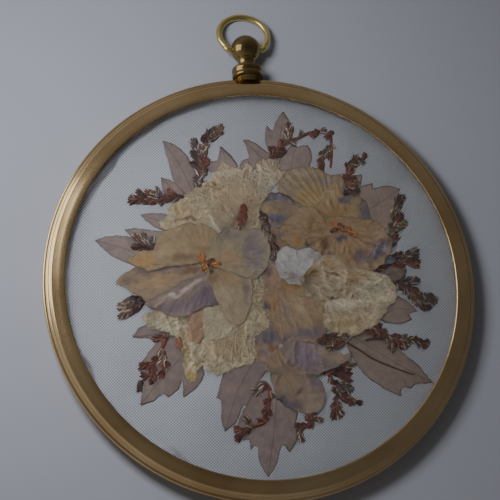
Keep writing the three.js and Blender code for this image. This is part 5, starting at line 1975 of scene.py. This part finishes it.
@dataclass
class HangingRing:
    """The hanging ring: one bent brass wire whose ends turn into the finial's ball."""

    wire: float = 0.75
    radius: float = 5.95
    reach: float = 4.8
    hinge_y: float = 58.1
    height: float = 3.9
    clearance: float = 0.02
    start: Sequence[Point] = ((1.3, 0.0), (3.4, 0.0), (4.1, 0.08), (4.58, 0.5))
    sections: int = 18

    def build(self) -> bpy.types.Object:
        """Sweeps the wire along its path and lets it droop to the table.

        Returns:
            The ring's object.
        """
        turn = arc_points((0.0, self.reach), self.radius, -38, 218, 64)
        path = smooth_path([*self.start, *turn, *[(-x, y) for x, y in reversed(self.start)]], 0.3)
        lift = self.height - self.wire - self.clearance
        droop = math.asin(lift / (self.reach + self.radius))
        bm = bmesh.new()
        ring = bmesh.ops.create_circle(bm, segments=self.sections, radius=self.wire)
        edges, verts = list(bm.edges), ring["verts"]
        round_section = [Vector(v.co) for v in verts]
        self.place(verts, round_section, path, 0)
        for i in range(1, len(path)):
            grown_edges = bmesh.ops.extrude_edge_only(bm, edges=edges)["geom"]
            edges = [g for g in grown_edges if isinstance(g, bmesh.types.BMEdge)]
            new = [g for g in grown_edges if isinstance(g, bmesh.types.BMVert)]
            before = {v: min(verts, key=lambda w: (w.co - v.co).length_squared) for v in new}
            verts = sorted(new, key=lambda v: verts.index(before[v]))
            self.place(verts, round_section, path, i)
        bmesh.ops.holes_fill(bm, edges=[e for e in bm.edges if e.is_boundary], sides=0)
        bmesh.ops.recalc_face_normals(bm, faces=bm.faces)
        bmesh.ops.rotate(bm, matrix=Matrix.Rotation(-droop, 3, "X"), verts=bm.verts)
        bmesh.ops.translate(bm, vec=(0, self.hinge_y, self.height), verts=bm.verts)
        piece = finish_piece(bm, "bail_wire", RING_BODY, WIRE_BRASS, "bail")
        set_smooth(piece)
        return piece

    @staticmethod
    def place(
        verts: Sequence[bmesh.types.BMVert], section: Sequence[Vector], path: Sequence[Point], i: int,
    ) -> None:
        """Puts one cross-section of the wire square to its path.

        Args:
            verts: The section's vertices in order.
            section: The section's points about the origin.
            path: The wire's middle line.
            i: Which point of the path.
        """
        before, after = path[max(i - 1, 0)], path[min(i + 1, len(path) - 1)]
        way = Vector((after[0] - before[0], after[1] - before[1], 0)).normalized()
        side = Vector((way.y, -way.x, 0))
        middle = Vector((*path[i], 0))
        for vert, spot in zip(verts, section):
            vert.co = middle + side * spot.x + Vector((0, 0, spot.y))


@dataclass
class SatinPad:
    """The padded satin: stretched over soft wadding and pressed against the glass."""

    radius: float = 46.9
    bottom: float = 1.55
    edge: float = 0.9
    cell: float = 0.4
    ripple: float = 0.035
    ripple_mm: float = 9.0
    merge: float = 0.06

    def build(self, bed: Bed) -> bpy.types.Object:
        """Makes the pad's soft top, sunk under what lies on it.

        Args:
            bed: What was laid on the pad.

        Returns:
            The pad's object.
        """
        bm = bmesh.new()
        count = round(2 * self.radius / self.cell)
        bmesh.ops.create_grid(bm, x_segments=count, y_segments=count, size=self.radius)
        beyond = [f for f in bm.faces if f.calc_center_median().length > self.radius]
        bmesh.ops.delete(bm, geom=beyond, context="FACES")
        for vert in bm.verts:
            if vert.is_boundary:
                vert.co = vert.co.normalized() * self.radius
        bmesh.ops.remove_doubles(bm, verts=bm.verts, dist=self.merge)
        spots = np.array([v.co[:2] for v in bm.verts])
        x, y = spots.T
        fall = np.clip(np.hypot(x, y) - (self.radius - self.edge), 0, self.edge)
        rounded = self.edge - np.sqrt(np.clip(self.edge**2 - fall**2, 0, None))
        soft = self.ripple * (noise_at(x, y, self.ripple_mm, 2.0) - 1)
        heights = bed.pad_top + soft - rounded + bed.sample(bed.puffed - bed.sunk, x, y)
        for vert, height in zip(bm.verts, heights.tolist()):
            vert.co.z = height
        walls = bmesh.ops.extrude_face_region(bm, geom=list(bm.faces))
        low = [g for g in walls["geom"] if isinstance(g, bmesh.types.BMVert)]
        for vert in low:
            vert.co.z = self.bottom
        bmesh.ops.recalc_face_normals(bm, faces=bm.faces)
        piece = finish_piece(bm, "satin_pad_stretched", FRAME_BODY, SATIN, "satin_pad")
        set_smooth(piece)
        return piece


@dataclass
class Disc:
    """A round plate with its two edges taken off."""

    radius: float = 47.2
    bottom: float = 0.0
    thickness: float = 1.5
    bevel: float = 0.12
    bevel_steps: int = 2
    steps: int = 160

    def cut(self, name: str, finish: Finish, node: str) -> bpy.types.Object:
        """Makes the plate.

        Args:
            name: The piece's name.
            finish: Its finish.
            node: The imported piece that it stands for.

        Returns:
            The plate's object.
        """
        bm = bmesh.new()
        bmesh.ops.create_cone(
            bm, cap_ends=True, segments=self.steps, radius1=self.radius, radius2=self.radius,
            depth=self.thickness, matrix=Matrix.Translation((0, 0, self.bottom + self.thickness / 2)),
        )
        rims = [e for e in bm.edges if len(e.link_faces) == 2 and e.calc_face_angle() > 1]
        bmesh.ops.bevel(
            bm, geom=rims, offset=self.bevel, affect="EDGES", segments=self.bevel_steps, profile=0.5,
            material=-1,
        )
        return finish_piece(bm, name, FRAME_BODY, finish, node)


@dataclass
class BackingCard(Disc):
    """The round backing card behind the pad, with a slightly worn edge."""

    def build(self) -> bpy.types.Object:
        """Makes the card and returns it."""
        return self.cut("backing_card_cut", CARD, "backing_card")


@dataclass
class Pane(Disc):
    """The round pane of glass over the flowers, with its sharp edges taken off."""

    bottom: float = 5.0
    thickness: float = 1.1
    bevel: float = 0.1
    bevel_steps: int = 1
    steps: int = 192

    def build(self) -> bpy.types.Object:
        """Makes the pane and returns it."""
        return self.cut("glass_pane", GLASS, "glass")


# ---------------------------------------------------------------- the studio


@dataclass
class Studio:
    """A pale floor, soft light from the upper left, and the camera that looks down."""

    camera_at: tuple[float, float, float] = (-51.77, -68.01, 265.08)
    look_at: tuple[float, float, float] = (-1.935, 8.787, 0.0)
    up: tuple[float, float, float] = (0.0742, 0.9972, 0.0)
    lens: float = 86.4
    sensor: float = 36.0
    clip: tuple[float, float] = (0.01, 10.0)
    floor: float = 600.0
    key: tuple[float, float, float] = (-84.0, 42.0, 134.0)
    key_size: tuple[float, float] = (52.0, 52.0)
    key_power: float = 0.305
    strip: tuple[float, float, float] = (-160.0, 75.0, 75.0)
    strip_size: tuple[float, float] = (130.0, 150.0)
    strip_power: float = 0.12
    world: str = "#949394"
    world_strength: float = 0.84
    bright_side: tuple[float, float, float] = (-0.68, 0.14, 0.0)
    dark_above: float = 0.72
    all_round: float = 1.1
    dimmest: float = 0.25

    def build(self) -> None:
        """Makes the floor, the lights, the world and the camera."""
        self.ground()
        key = self.light("soft_light_left", self.key, self.key_size, self.key_power, "#eaf0ff")
        key.visible_glossy = False
        strip = self.light("tall_light_left", self.strip, self.strip_size, self.strip_power, "#ffffff")
        strip.visible_diffuse = False
        strip.visible_transmission = False
        self.room()
        self.camera()

    def room(self) -> None:
        """Lights the scene softly from all around: less from above, more from the left."""
        world = bpy.data.worlds.new("studio")
        bpy.context.scene.world = world
        world.use_nodes = True
        tree = world.node_tree
        tree.nodes.clear()
        way = add_node(tree, "TexCoord").outputs["Generated"]
        left = {0: way, 1: self.bright_side}
        side = add_node(tree, "VectorMath", left, operation="DOT_PRODUCT").outputs["Value"]
        level = self.world_strength
        strength = add_node(tree, "Math", {0: side, 1: level, 2: level}, operation="MULTIPLY_ADD")
        least = {0: strength, 1: self.dimmest * level}
        strength = add_node(tree, "Math", least, operation="MAXIMUM")
        up = add_node(tree, "SeparateXYZ", {"Vector": way}).outputs["Z"]
        high = add_node(tree, "Math", {0: up, 1: up}, operation="MULTIPLY")
        shade = {0: high, 1: -self.dark_above, 2: self.all_round}
        darker = add_node(tree, "Math", shade, operation="MULTIPLY_ADD")
        strength = add_node(tree, "Math", {0: strength, 1: darker}, operation="MULTIPLY")
        sky = add_node(tree, "Background", {"Color": linear(self.world), "Strength": strength})
        add_node(tree, "OutputWorld", {"Surface": sky})

    def ground(self) -> None:
        """Makes the floor."""
        bm = bmesh.new()
        bmesh.ops.create_grid(bm, x_segments=2, y_segments=2, size=self.floor)
        floor = placed(bm, "floor")
        FLOOR.dress(floor)

    def light(
        self, name: str, place: tuple[float, float, float], size: tuple[float, float], power: float,
        colour: str,
    ) -> bpy.types.Object:
        """Adds a soft oblong light that faces the frame.

        Args:
            name: The light's name.
            place: Where it is, in millimetres.
            size: Its width and height, in millimetres.
            power: Its power in watts.
            colour: Its hex colour.

        Returns:
            The light's object.
        """
        lamp = bpy.data.lights.new(name, "AREA")
        lamp.shape, lamp.size, lamp.size_y = "RECTANGLE", size[0] * MM, size[1] * MM
        lamp.energy, lamp.color = power, linear(colour)[:3]
        holder = bpy.data.objects.new(name, lamp)
        holder.location = Vector(place) * MM
        holder.rotation_euler = (-Vector(place)).to_track_quat("-Z", "Y").to_euler()
        holder.visible_camera = False
        bpy.context.scene.collection.objects.link(holder)
        return holder

    def camera(self) -> None:
        """Places the camera."""
        lens = bpy.data.cameras.new("camera")
        lens.lens, lens.sensor_width, lens.sensor_fit = self.lens, self.sensor, "HORIZONTAL"
        lens.clip_start, lens.clip_end = self.clip
        eye = bpy.data.objects.new("camera", lens)
        back = (Vector(self.camera_at) - Vector(self.look_at)).normalized()
        right = Vector(self.up).cross(back).normalized()
        upright = back.cross(right)
        turn = Matrix((right, upright, back)).transposed().to_4x4()
        eye.matrix_world = Matrix.Translation(Vector(self.camera_at) * MM) @ turn
        bpy.context.scene.collection.objects.link(eye)
        bpy.context.scene.camera = eye


def main() -> None:
    """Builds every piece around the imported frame."""
    logging.basicConfig(level=logging.INFO, format="%(message)s")
    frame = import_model()
    Studio().build()
    arrangement = Arrangement(frame["nodes"])
    arrangement.build()
    SatinPad().build(arrangement.bed)
    BackingCard().build()
    Pane().build()
    Rim().build()
    Finial().build()
    HangingRing().build()


if __name__ == "__main__":
    main()
